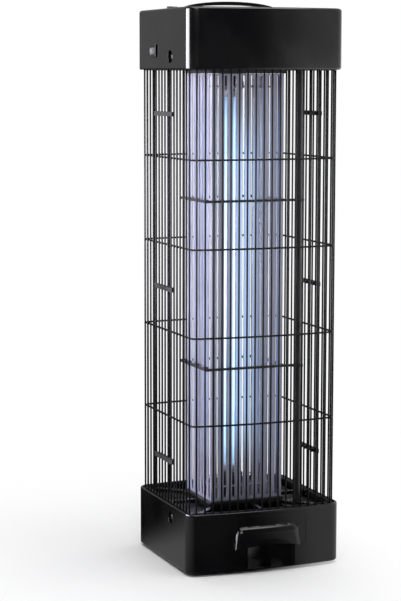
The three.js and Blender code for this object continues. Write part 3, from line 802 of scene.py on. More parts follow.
# ---------------------------------------------------------------- housings
@dataclass
class Housings:
    """The black cap and base, with their screw cups, openings and decks."""

    outline: BowedOutline
    paint: Paint
    wall: float = 2.5 * MM
    cup_radius: float = 7 * MM
    cup_depth: float = 4 * MM
    boss_radius: float = 8.2 * MM
    boss_depth: float = 9 * MM
    hole_radius: float = 2.2 * MM
    hole_depth: float = 15 * MM
    switch_half: Span = (8.2 * MM, 5.7 * MM)
    inlet_radius: float = 5.2 * MM
    pocket_wall: float = 2.2 * MM
    recess_half: float = 33 * MM
    recess_depth: float = 18 * MM
    recess_floor: float = 1.6 * MM
    front_half: float = 46.7 * MM
    gap: float = 0.3 * MM

    def build(self) -> None:
        """Builds both housings and everything that is fixed to them."""
        self.base()
        self.cap()
        self.finger_pocket()
        self.plain_parts()
        self.side_screws()

    def rim(self, z: float, up: float) -> list[tuple[float, float]]:
        """Levels that carry the skin from the outer face over a rounded edge to the inner face.

        Args:
            z: height of the edge.
            up: 1 where the edge is the top of the wall, -1 where it is the bottom.

        Returns:
            (z, inset) pairs from outside to inside.
        """
        steps = (
            (2.0, 0.0), (1.2, 0.08), (0.6, 0.3), (0.2, 0.7), (0.0, 1.2), (0.0, 1.9), (0.25, 2.3),
        )
        levels = [(z - up * drop * MM, inset * MM) for drop, inset in steps]
        return levels + [(z - up * 0.8 * MM, self.wall)]

    def base(self) -> None:
        """The base: an open wall with the tray's opening and the finger recess cut from it."""
        low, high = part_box("base_housing")
        outside = self.rim(low[2], -1)[::-1]
        levels = [*outside, *self.rim(high[2], 1), outside[0]]
        body = self.outline.shell("base_wall", levels, hollow=True)
        tray_low, tray_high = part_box("collection_tray")
        self.cut_box(
            body,
            (-self.front_half - self.gap, low[1] - 9 * MM, tray_low[2] - self.gap),
            (self.front_half + self.gap, low[1] + 12 * MM, tray_high[2] + self.gap),
            corner=4 * MM,
        )
        self.cut_box(
            body,
            (-self.recess_half, low[1] - 9 * MM, low[2] + self.recess_floor),
            (self.recess_half, low[1] + self.recess_depth, tray_low[2] + 1 * MM),
            corner=0.0,
        )
        self.cups(body, "base")
        Bench.round_edges(body, 0.3 * MM, 2, 50)
        Bench.smooth(body, 30, weighted=True)
        self.paint.dress(body, "gloss_black", ["base_housing"])

    @staticmethod
    def cut_box(
        body: bpy.types.Object, low: Sequence[float], high: Sequence[float], corner: float
    ) -> None:
        """Cuts a box out of body, with its front-to-rear edges rounded by corner."""
        tool = Bench.block("cutter", low, high)
        if corner:
            bpy.ops.object.mode_set(mode="EDIT")
            Bench.pick_edges(tool, lambda e: abs(e.verts[0].co.y - e.verts[1].co.y) > 1 * MM)
            bpy.ops.mesh.bevel(offset=corner, segments=6, affect="EDGES")
            bpy.ops.object.mode_set(mode="OBJECT")
        Bench.combine(body, tool, "DIFFERENCE")

    def cups(self, body: bpy.types.Object, place: str) -> None:
        """Adds a boss behind each side wall and sinks the round cup and the screw hole in it."""
        for side_name, side in SIDES:
            low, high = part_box(f"{place}_screw_{side_name}")
            y, z = (low[1] + high[1]) / 2, (low[2] + high[2]) / 2
            face = Vector((side * self.outline.half_width, y, z))
            inward = Vector((-side, 0, 0))
            for name, start, end, radius, sides, how in (
                ("boss", self.boss_depth, 0.6 * MM, self.boss_radius, 40, "UNION"),
                ("cup", self.cup_depth, -3 * MM, self.cup_radius, 40, "DIFFERENCE"),
                ("hole", self.hole_depth, -3 * MM, self.hole_radius, 20, "DIFFERENCE"),
            ):
                tool = Bench.rod(name, face + inward * start, face + inward * end, radius, sides)
                Bench.combine(body, tool, how)

    def cap(self) -> None:
        """The cap: a closed roof with rounded shoulders, the switch's opening and screw cups."""
        low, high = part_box("top_cover")
        top = high[2]
        shoulder = [(0.0, 9.0), (0.0, 3.6), (0.25, 2.2), (0.9, 1.05), (1.9, 0.35), (3.2, 0.0)]
        levels = [(top - drop * MM, inset * MM) for drop, inset in shoulder]
        levels += self.rim(low[2], -1)
        levels += [(top - 4 * MM, self.wall), (top - self.wall, self.wall + 2 * MM)]
        levels += [(top - self.wall, 20 * MM)]
        body = self.outline.shell("cap_shell", levels)
        switch_low, switch_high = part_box("rocker_housing")
        middle = (Vector(switch_low) + Vector(switch_high)) / 2
        half_y, half_z = self.switch_half
        self.cut_box(
            body,
            (low[0] - 5 * MM, middle.y - half_y, middle.z - half_z),
            (low[0] + 6 * MM, middle.y + half_y, middle.z + half_z),
            corner=0.0,
        )
        inlet_low, inlet_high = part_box("cord_inlet")
        inlet_z = (inlet_low[2] + inlet_high[2]) / 2
        start, end = (Vector((0, high[1] + reach * MM, inlet_z)) for reach in (-12, 5))
        hole = Bench.rod("inlet_hole", start, end, self.inlet_radius, 32)
        Bench.combine(body, hole, "DIFFERENCE")
        self.cups(body, "cap")
        Bench.round_edges(body, 0.3 * MM, 2, 50)
        Bench.smooth(body, 30, weighted=True)
        self.paint.dress(body, "gloss_black", ["top_cover"])

    def finger_pocket(self) -> None:
        """The scooped pocket behind the finger recess, with a thin floor."""
        low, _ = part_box("base_housing")
        tray_low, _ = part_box("collection_tray")
        back = low[1] + self.recess_depth
        wall = self.pocket_wall
        mouth = self.outline.front(self.recess_half)
        front = mouth + self.wall - 0.4 * MM
        outer = Bench.block(
            "finger_pocket",
            (-self.recess_half - wall, front, low[2]),
            (self.recess_half + wall, back + wall, tray_low[2] - 1 * MM),
        )
        depth = back - mouth
        scoop = (self.recess_half**2 + depth**2) / (2 * depth)
        start, end = (
            Vector((0, back - scoop, z))
            for z in (low[2] + self.recess_floor, tray_low[2] + 5 * MM)
        )
        inner = Bench.rod("pocket_space", start, end, scoop, 96)
        Bench.combine(outer, inner, "DIFFERENCE")
        Bench.round_edges(outer, 0.25 * MM, 2, 50)
        Bench.smooth(outer, 35, weighted=True)
        self.paint.dress(outer, "gloss_black")

    def plain_parts(self) -> None:
        """Decks, plate, funnel, guide, feet and inlet, with their edges rounded."""
        parts = {
            "base_deck": ("gloss_black", 0.9),
            "cap_deck": ("matte_black", 0.4),
            "base_plate": ("matte_black", 0.4),
            "insect_funnel": ("matte_black", 0.0),
            "tray_guide": ("matte_black", 0.3),
            "cord_inlet": ("rubber", 0.3),
        }
        for node, (slot, bevel) in parts.items():
            self.paint.part(node, slot, bevel * MM)
        for i in range(1, 5):
            self.paint.part(f"rubber_foot_{i}", "rubber", 0.4 * MM)

    def screw(self, name: str, shank: float) -> bpy.types.Object:
        """A pan-head screw along Z with a cross recess, its seat at z = 0.

        Args:
            name: the object's name.
            shank: length below the seat.

        Returns:
            The screw, head upwards.
        """
        head = [
            (0, 2.3), (1.2, 2.28), (2.6, 1.95), (3.4, 1.3), (3.75, 0.5), (3.8, 0.0), (1.8, 0.0),
        ]
        thread = []
        pitch = 0.7
        turns = int(shank / MM / pitch)
        for i in range(turns):
            thread += [(1.35, -0.5 - i * pitch), (1.75, -0.85 - i * pitch)]
        tip = [(1.3, -0.5 - turns * pitch), (0.3, -1.6 - turns * pitch), (0, -1.8 - turns * pitch)]
        profile = [(r * MM, z * MM) for r, z in head + thread + tip]
        body = Bench.spun(name, profile, 24)
        for turn in (0.0, math.pi / 2):
            low, high = (-2.1 * MM, -0.45 * MM, 1.1 * MM), (2.1 * MM, 0.45 * MM, 4 * MM)
            bar = Bench.block("cross", low, high)
            bar.data.transform(Matrix.Rotation(turn, 4, "Z"))
            Bench.combine(body, bar, "DIFFERENCE")
        Bench.smooth(body, 30)
        return body

    def side_screws(self) -> None:
        """One screw in each cup, and four under the base."""
        for place in ("base", "cap"):
            for side_name, side in SIDES:
                node = f"{place}_screw_{side_name}"
                low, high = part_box(node)
                seat = side * (self.outline.half_width - self.cup_depth + self.gap)
                y, z = (low[1] + high[1]) / 2, (low[2] + high[2]) / 2
                screw = self.screw(f"{node}_body", 11 * MM)
                turn = Matrix.Rotation(side * math.pi / 2, 4, "Y")
                screw.data.transform(Matrix.Translation((seat, y, z)) @ turn)
                self.paint.dress(screw, "black_screw", [node])
        for i in range(1, 5):
            node = f"bottom_screw_{i}"
            low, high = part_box(node)
            screw = self.screw(f"{node}_body", 10 * MM)
            flip = Matrix.Rotation(math.pi, 4, "X")
            seat = Vector(((low[0] + high[0]) / 2, (low[1] + high[1]) / 2, low[2] + 2.4 * MM))
            screw.data.transform(Matrix.Translation(seat) @ flip)
            self.paint.dress(screw, "steel", [node])


# ---------------------------------------------------------------- tray
@dataclass
class Tray:
    """The pull-out insect tray: a bowed front with a moulded pull, and an open pan behind it."""

    outline: BowedOutline
    paint: Paint
    front_half: float = 46.7 * MM
    pull_half: float = 36.2 * MM
    pull_lean: float = 0.17
    pull_top: float = 52.7 * MM
    pull_foot: float = 28 * MM
    pull_corner: float = 7 * MM
    pull_edge: float = 8.0 * MM
    pull_proud: float = 6.4 * MM
    pull_rake: float = 0.3
    wall: float = 2.0 * MM
    pan_half: float = 45 * MM
    pan_rim: float = 52 * MM
    edge_corner: float = 4 * MM
    arch: float = 4.5 * MM
    columns: int = 150
    rows: int = 56

    def build(self) -> None:
        """Builds the tray as one piece."""
        low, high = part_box("collection_tray")
        front = self.front_panel(low[2], high[2])
        pan = self.pan(low, high)
        tray = Bench.join("insect_tray", [front, pan])
        Bench.smooth(tray, 40)
        self.paint.dress(tray, "gloss_black", ["collection_tray"], "tray")

    def lower_edge(self, x: float, bottom: float) -> float:
        """Height of the panel's lower edge: rounded ends, and an arch under the pull."""
        reach = abs(x)
        if reach < self.pull_half:
            return bottom + self.arch * (1 - (reach / self.pull_half) ** 2)
        corner = self.edge_corner
        into = max(0.0, reach - (self.front_half - corner))
        return bottom + corner - math.sqrt(max(corner**2 - into**2, 0.0))

    def bulge(self, x: float, z: float) -> float:
        """How far the pull stands out of the panel at this place."""
        core_x = self.pull_half - self.pull_corner
        core_z = self.pull_top - self.pull_corner
        lean = self.pull_lean * max(self.pull_top - z, 0.0)
        over_x = max(abs(x) - lean - core_x, 0.0)
        over_z = max(z - core_z, 0.0)
        inside = self.pull_corner - math.hypot(over_x, over_z)
        if inside <= 0:
            return 0.0
        share = min(inside / self.pull_edge, 1.0)
        rake = 1 - self.pull_rake * (z - self.pull_foot) / (self.pull_top - self.pull_foot)
        return self.pull_proud * rake * math.sqrt(1 - (1 - share) ** 2)

    def along_pull(self, x: float, z: float) -> float:
        """Shifts a grid column sideways so that it runs along the pull's leaning side."""
        shift = self.pull_lean * max(self.pull_top - z, 0.0)
        reach = abs(x)
        if reach < self.pull_half:
            moved = reach * (1 + shift / self.pull_half)
        else:
            room = self.front_half - self.pull_half
            moved = self.pull_half + shift + (reach - self.pull_half) * (room - shift) / room
        return math.copysign(moved, x)

    def front_panel(self, bottom: float, top: float) -> bpy.types.Object:
        """The bowed panel, shaped from a grid and given its thickness."""
        Bench.clear()
        bpy.ops.mesh.primitive_grid_add(
            x_subdivisions=self.columns, y_subdivisions=self.rows, size=1
        )
        panel = Bench.named("tray_front")
        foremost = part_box("collection_tray")[0][1]
        for vertex in panel.data.vertices:
            flat = vertex.co.x * 2 * self.front_half
            edge = self.lower_edge(flat, bottom)
            z = edge + (vertex.co.y + 0.5) * (top - edge)
            x = self.along_pull(flat, z)
            y = self.outline.front(x) - self.bulge(x, z)
            vertex.co = (x, max(y, foremost), z)
        Bench.only(panel)
        bpy.ops.object.mode_set(mode="EDIT")
        bpy.ops.mesh.select_all(action="SELECT")
        bpy.ops.mesh.normals_make_consistent(inside=False)
        bpy.ops.object.mode_set(mode="OBJECT")
        if panel.data.polygons[0].normal.y > 0:
            panel.data.flip_normals()
        Bench.modify(panel, "SOLIDIFY", thickness=self.wall, offset=-1)
        Bench.round_edges(panel, 0.6 * MM, 3, 60)
        return panel

    def pan(self, low: Sequence[float], high: Sequence[float]) -> bpy.types.Object:
        """The open pan: a block whose top is inset and pushed down."""
        half, rim = self.pan_half, self.pan_rim
        front = self.outline.front(0) + 9 * MM
        floor = low[2] + self.wall
        pan = Bench.block("tray_pan", (-half, front, low[2]), (half, high[1], rim))
        bpy.ops.object.mode_set(mode="EDIT")
        Bench.pick_faces(pan, lambda face: face.normal.z > 0.9)
        bpy.ops.mesh.inset(thickness=self.wall)
        bpy.ops.mesh.extrude_region_move(TRANSFORM_OT_translate={"value": (0, 0, floor - rim)})
        bpy.ops.object.mode_set(mode="OBJECT")
        Bench.round_edges(pan, 0.6 * MM, 3)
        cheeks = []
        for _, side in SIDES:
            near, far = sorted((side * (half - self.wall), side * half))
            lowest = (near, self.outline.front(half) + 1 * MM, low[2] + 0.5 * MM)
            cheeks.append(Bench.block("cheek", lowest, (far, front + 2 * MM, rim - 1 * MM)))
        return Bench.join("tray_pan", [pan, *cheeks])


# ---------------------------------------------------------------- cage
@dataclass
class Cage:
    """Two welded wire halves and the six clips that hold them together."""

    outline: BowedOutline
    paint: Paint
    wires: int = 68
    inset: float = 5.4 * MM
    hoop_inset: float = 6.9 * MM
    hoop_radius: float = 1.15 * MM
    radius: float = 1.0 * MM
    bays: int = 5
    seam: float = 0.5 * MM

    def build(self) -> None:
        """Builds both halves and dresses the clips."""
        for name, side in (("cage_front", -1), ("cage_rear", 1)):
            low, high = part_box(name)
            parts = [self.hoop(side, z) for z in self.hoop_heights(low[2], high[2])]
            parts += self.uprights(side, low[2], high[2])
            half = Bench.join(f"{name}_wires", parts)
            Bench.smooth(half, 50)
            self.paint.dress(half, "cage_wire", [name])
        for side_name in ("left", "right"):
            for i in range(1, 4):
                node = f"cage_clip_{side_name}_{i}"
                self.paint.part(node, "insulating_plastic", 0.9 * MM, 3)

    def hoop_heights(self, bottom: float, top: float) -> list[float]:
        """Heights of the hoops: one at each end and one between every two bays."""
        deck_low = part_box("base_housing")[1][2]
        deck_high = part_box("top_cover")[0][2]
        bay = (deck_high - deck_low) / self.bays
        inner = [deck_low + i * bay for i in range(1, self.bays)]
        return [bottom + self.hoop_radius, *inner, top - self.hoop_radius]

    def hoop(self, side: int, z: float) -> bpy.types.Object:
        """One half hoop of round wire, from a cut ring of edges."""
        ring = self.outline.points(self.hoop_inset)
        Bench.clear()
        bpy.ops.mesh.primitive_circle_add(vertices=len(ring), radius=0.05, fill_type="NOTHING")
        wire = Bench.named("hoop")
        for vertex, point in zip(wire.data.vertices, ring):
            vertex.co = (point.x, point.y, z)
        bpy.ops.object.mode_set(mode="EDIT")
        bpy.ops.mesh.select_all(action="SELECT")
        bpy.ops.mesh.bisect(
            plane_co=(0, side * self.seam, 0),
            plane_no=(0, -side, 0),
            clear_outer=True,
        )
        bpy.ops.object.mode_set(mode="OBJECT")
        bpy.ops.object.convert(target="CURVE")
        curve = bpy.context.object
        curve.data.bevel_depth = self.hoop_radius
        curve.data.bevel_resolution = 1
        curve.data.use_fill_caps = True
        bpy.ops.object.convert(target="MESH")
        return bpy.context.object

    def uprights(self, side: int, bottom: float, top: float) -> list[bpy.types.Object]:
        """Copies one upright to every place on this half."""
        wire = Bench.rod("upright", Vector((0, 0, bottom)), Vector((0, 0, top)), self.radius, 10)
        bpy.ops.object.mode_set(mode="EDIT")
        Bench.pick_faces(wire, lambda face: abs(face.normal.z) > 0.9)
        bpy.ops.mesh.bevel(offset=0.3 * MM, segments=1, affect="EDGES")
        bpy.ops.object.mode_set(mode="OBJECT")
        places = self.outline.even_places(self.inset, self.wires)
        copies = [
            Bench.copy(wire, "upright", Matrix.Translation(p)) for p in places if p.y * side > 0
        ]
        bpy.data.objects.remove(wire, do_unlink=True)
        return copies


# ---------------------------------------------------------------- electrodes and lamp
@dataclass
class Electrodes:
    """The slotted sheets, the live grid behind them, their insulators, braces and conduit."""

    paint: Paint
    slot_width: float = 3.9 * MM
    slot_pitch: float = 10.35 * MM
    front_slots: int = 8
    side_slots: int = 7
    foot: float = 3.5 * MM
    head: float = 2.0 * MM
    thickness: float = 0.9 * MM
    rod_radius: float = 0.95 * MM

    def build(self) -> None:
        """Builds every piece between the two decks, apart from the lamp."""
        for quarter, side in enumerate(("front", "right", "rear", "left")):
            self.sheet(side, quarter)
        self.grid()
        for node, bevel in (
            ("insulator_bottom", 0.6), ("insulator_top", 0.6),
            ("grid_brace_lower", 0.5), ("grid_brace_upper", 0.5), ("wire_conduit", 0.3),
        ):
            piece = Bench.from_cad(node, bevel * MM)
            self.paint.dress(piece, "insulating_plastic", [node])

    def sheet(self, side: str, quarter: int) -> None:
        """One slotted sheet, shaped flat from a grid and turned to its side.

        Args:
            side: the sheet's name in its CAD node.
            quarter: quarter turns from the front.
        """
        low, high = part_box(f"electrode_{side}")
        middle = (Vector(low) + Vector(high)) / 2
        half = max(high[0] - low[0], high[1] - low[1]) / 2
        slots = self.side_slots if quarter % 2 else self.front_slots
        columns = 2 * slots + 1
        Bench.clear()
        bpy.ops.mesh.primitive_grid_add(x_subdivisions=columns, y_subdivisions=3, size=1)
        sheet = Bench.named(f"electrode_{side}_sheet")
        xs = [-half]
        for place in self.evenly(slots):
            xs += [place - self.slot_width / 2, place + self.slot_width / 2]
        xs.append(half)
        zs = [low[2], low[2] + self.foot, high[2] - self.head, high[2]]
        for vertex in sheet.data.vertices:
            column = round((vertex.co.x + 0.5) * columns)
            row = round((vertex.co.y + 0.5) * 3)
            vertex.co = (xs[column], -self.thickness / 2, zs[row])
        bpy.ops.object.mode_set(mode="EDIT")
        gaps = set(range(1, columns, 2))
        Bench.pick_faces(sheet, lambda face: self.is_slot(face, xs, zs, gaps))
        bpy.ops.mesh.delete(type="FACE")
        bpy.ops.object.mode_set(mode="OBJECT")
        if sheet.data.polygons[0].normal.y > 0:
            sheet.data.flip_normals()
        Bench.modify(sheet, "SOLIDIFY", thickness=self.thickness, offset=-1)
        self.round_slots(sheet, zs, half)
        Bench.round_edges(sheet, 0.2 * MM, 2, 60)
        centre = Matrix.Translation((middle.x, middle.y, 0))
        sheet.data.transform(centre @ Matrix.Rotation(quarter * math.pi / 2, 4, "Z"))
        Bench.smooth(sheet, 35, weighted=True)
        self.paint.dress(sheet, "electrode_sheet", [f"electrode_{side}"])

    def evenly(self, count: int) -> list[float]:
        """Places at the slots' pitch, centred on zero."""
        return [(i - (count - 1) / 2) * self.slot_pitch for i in range(count)]

    @staticmethod
    def is_slot(
        face: bmesh.types.BMFace, xs: Sequence[float], zs: Sequence[float], gaps: set[int]
    ) -> bool:
        """Whether this face of the flat grid lies where a slot is cut."""
        middle = face.calc_center_median()
        column = sum(middle.x > x for x in xs) - 1
        return column in gaps and zs[1] < middle.z < zs[2]

    def round_slots(self, sheet: bpy.types.Object, zs: Sequence[float], half: float) -> None:
        """Rounds the four corners of every slot."""
        Bench.only(sheet)
        bpy.ops.object.mode_set(mode="EDIT")
        Bench.pick_edges(
            sheet,
            lambda e: abs(e.verts[0].co.y - e.verts[1].co.y) > 0.5 * self.thickness
            and any(abs(e.verts[0].co.z - z) < 1e-6 for z in zs[1:3])
            and abs(e.verts[0].co.x) < half - 1 * MM,
        )
        bpy.ops.mesh.bevel(offset=1.2 * MM, segments=3, affect="EDGES")
        bpy.ops.object.mode_set(mode="OBJECT")

    def grid(self) -> None:
        """The live grid: round rods behind the strips, joined by two rectangular frames."""
        low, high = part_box("inner_grid")
        radius = self.rod_radius
        centre = (Vector(low) + Vector(high)) / 2
        reach_x, reach_y = high[0] - centre.x - radius, high[1] - centre.y - radius
        rod = Bench.rod("rod", Vector((0, 0, low[2])), Vector((0, 0, high[2])), radius, 8)
        seats = []
        for x in self.evenly(self.front_slots - 1):
            seats += [(x, side * reach_y) for _, side in SIDES]
        for y in self.evenly(self.side_slots - 1):
            seats += [(side * reach_x, y) for _, side in SIDES]
        parts = [
            Bench.copy(rod, "rod", Matrix.Translation((centre.x + x, centre.y + y, 0)))
            for x, y in seats
        ]
        bpy.data.objects.remove(rod, do_unlink=True)
        corners = [(-1, -1), (1, -1), (1, 1), (-1, 1), (-1, -1)]
        for z in (low[2] + 14 * MM, high[2] - 14 * MM):
            points = [
                Vector((centre.x + a * reach_x, centre.y + b * reach_y, z)) for a, b in corners
            ]
            parts += [Bench.rod("bar", a, b, radius, 8) for a, b in zip(points, points[1:])]
        grid = Bench.join("live_grid", parts)
        Bench.smooth(grid, 50)
        self.paint.dress(grid, "steel", ["inner_grid"])


@dataclass
class Lamp:
    """The fluorescent tube with its end caps and pins, and the two lampholders."""

    paint: Paint
    pin_spacing: float = 12.7 * MM
    pin_length: float = 6.8 * MM
    neck: float = 3 * MM
    neck_in: float = 1.4 * MM

    def build(self) -> None:
        """Builds the tube, caps and holders."""
        low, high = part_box("lamp_tube")
        self.axis = Vector(((low[0] + high[0]) / 2, (low[1] + high[1]) / 2, 0.0))
        self.radius = (high[0] - low[0]) / 2
        self.tube(low[2], high[2])
        for name, inward in (("bottom", 1), ("top", -1)):
            self.end_cap(name, inward)
            self.holder(name, inward)

    def tube(self, bottom: float, top: float) -> None:
        """The glass, necked in where it enters its caps."""
        profile = [(0.0, bottom), (self.radius - self.neck_in, bottom)]
        profile += [
            (self.radius - self.neck_in * math.cos(t), bottom + self.neck * math.sin(t))
            for t in (math.radians(a) for a in range(15, 91, 15))
        ]
        profile += [(r, top + bottom - z) for r, z in reversed(profile)]
        glass = Bench.spun("lamp_glass_tube", profile, 48)
        glass.data.transform(Matrix.Translation(self.axis))
        Bench.smooth(glass, 50)
        self.paint.dress(glass, "lamp_glass", ["lamp_tube"], "lamp")

    def end_cap(self, name: str, inward: int) -> None:
        """A rolled metal cap with an end disc and two pins."""
        node = f"lamp_cap_{name}"
        low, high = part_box(node)
        face = low[2] + self.pin_length if inward > 0 else high[2] - self.pin_length
        shape = [(0, 0), (9.8, 0), (10.4, 0.5), (11.6, 0.5), (12.6, 1.2), (13.0, 2.4), (13.0, 7.4),
                 (12.8, 7.9), (13.0, 8.4), (12.9, 9.0), (12.65, 9.0), (12.6, 8.6), (0, 8.6)]
        profile = [(r * MM, face + inward * z * MM) for r, z in shape]
        parts = [Bench.spun(f"{node}_body", profile, 40)]
        for side in (-1, 1):
            pin = [(0, -6.8), (0.7, -6.7), (1.15, -6.0), (1.15, 0.4), (0, 0.4)]
            points = [(r * MM, face + inward * z * MM) for r, z in pin]
            rod = Bench.spun("pin", points, 16)
            rod.data.transform(Matrix.Translation((side * self.pin_spacing / 2, 0, 0)))
            parts.append(rod)
        cap = Bench.join(f"{node}_body", parts)
        cap.data.transform(Matrix.Translation(self.axis))
        Bench.smooth(cap, 35)
        self.paint.dress(cap, "lamp_metal", [node], "lamp")

    def holder(self, name: str, inward: int) -> None:
        """A ribbed lampholder with a flared mouth, a turning groove and an entry slot."""
        node = f"lampholder_{name}"
        low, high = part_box(node)
        mouth = high[2] if inward > 0 else low[2]
        depth = high[2] - low[2]
        shape = [(0, depth / MM), (12.9, depth / MM), (13.5, depth / MM - 0.8), (13.5, 8.5),
                 (14.2, 7.5), (14.2, 0.8), (13.6, 0.0), (8.6, 0.0), (8.4, 0.3), (8.4, 7.8),
                 (4.2, 7.8), (4.2, 0.3), (4.0, 0.0), (0, 0)]
        profile = [(r * MM, mouth - inward * z * MM) for r, z in shape]
        body = Bench.spun(f"{node}_body", profile, 48)
        slot_z = sorted((mouth - inward * 7.8 * MM, mouth + inward * 4 * MM))
        slot = Bench.block("entry", (-1.6 * MM, -20 * MM, slot_z[0]), (1.6 * MM, 0, slot_z[1]))
        Bench.combine(body, slot, "DIFFERENCE")
        body.data.transform(Matrix.Translation(self.axis))
        Bench.round_edges(body, 0.2 * MM, 2, 50)
        Bench.smooth(body, 35)
        self.paint.dress(body, "insulating_plastic", [node])


# ---------------------------------------------------------------- controls and electrics
@dataclass
class Controls:
    """The carry handle with its pivots, and the rocker switch."""

    paint: Paint
    mark_offset: float = 4 * MM
    mark_height: float = 0.06 * MM
    face_half: float = 6.6 * MM
    face_height: float = 1.4 * MM
    face_rise: float = 0.5 * MM
    rocker_tilt: float = math.pi / 30

    def build(self) -> None:
        """Builds the handle and the switch."""
        self.handle()
        for side in ("left", "right"):
            self.paint.part(f"handle_pivot_{side}", "matte_black", 0.7 * MM, 3)
        self.paint.part("rocker_housing", "gloss_black", 0.5 * MM, 3)
        self.rocker()

    def handle(self) -> None:
        """The folded bail: an arched strap between two flat arms."""
        bail = Bench.from_cad("carry_handle", 0.9 * MM, 3, name="carry_bail")
        Bench.smooth(bail, 50)
        self.paint.dress(bail, "gloss_black", ["carry_handle"], "handle")

    def rocker(self) -> None:
        """The rocker, and the bar and ring printed on its two halves."""
        node = "rocker_button"
        button = Bench.from_cad(node, 0.5 * MM, 3)
        self.paint.dress(button, "matte_black", [node], "rocker")
        low, high = (-0.2 * MM, 0, -1.3 * MM), (0.2 * MM, self.mark_height, 1.3 * MM)
        bar = Bench.block("rocker_bar", low, high)
        Bench.round_edges(bar, 0.02 * MM, 1)
        inner, outer = 0.85 * MM, 1.2 * MM
        shape = [(inner, 0.0), (outer, 0.0), (outer, self.mark_height), (inner, self.mark_height)]
        ring = Bench.spun("rocker_ring", shape, 32, ring=True)
        ring.data.transform(Matrix.Rotation(-math.pi / 2, 4, "X"))
        for mark, side in ((bar, -1), (ring, 1)):
            mark.data.transform(self.on_rocker(side * self.mark_offset))
            self.paint.dress(mark, "matte_black", body="rocker")
            mark.data.materials[0] = self.paint.ink

    def on_rocker(self, along: float) -> Matrix:
        """Where a mark sits on the rocker's hollow face.

        Args:
            along: distance from the rocker's middle, along its length.

        Returns:
            The transform from the mark's own place to the face.
        """
        low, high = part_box("rocker_housing")
        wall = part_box("top_cover")[0][0]
        middle = Vector((wall, (low[1] + high[1]) / 2, (low[2] + high[2]) / 2))
        rise = self.face_height + self.face_rise * (along / self.face_half) ** 2
        slope = math.atan(2 * self.face_rise * along / self.face_half**2)
        turn = Matrix.Rotation(math.pi / 2 + self.rocker_tilt, 4, "Z")
        seat = Matrix.Translation((along, rise - 0.02 * MM, 0)) @ Matrix.Rotation(slope, 4, "Z")
        return Matrix.Translation(middle) @ turn @ seat


@dataclass
class Electrics:
    """What is sealed in the cap: ballast, board, transformer, capacitors and starter."""

    paint: Paint

    def build(self) -> None:
        """Rounds and dresses each component."""
        for node, slot, bevel in (
            ("ballast", "grey_plastic", 1.2),
            ("circuit_board", "board", 0.2),
            ("transformer_core", "steel", 0.3),
            ("transformer_coil", "copper", 0.6),
            ("hv_capacitor_1", "copper", 1.0),
            ("hv_capacitor_2", "copper", 1.0),
            ("starter_holder", "pale_plastic", 0.8),
            ("starter", "pale_plastic", 1.2),
        ):
            self.paint.part(node, slot, bevel * MM, 3)


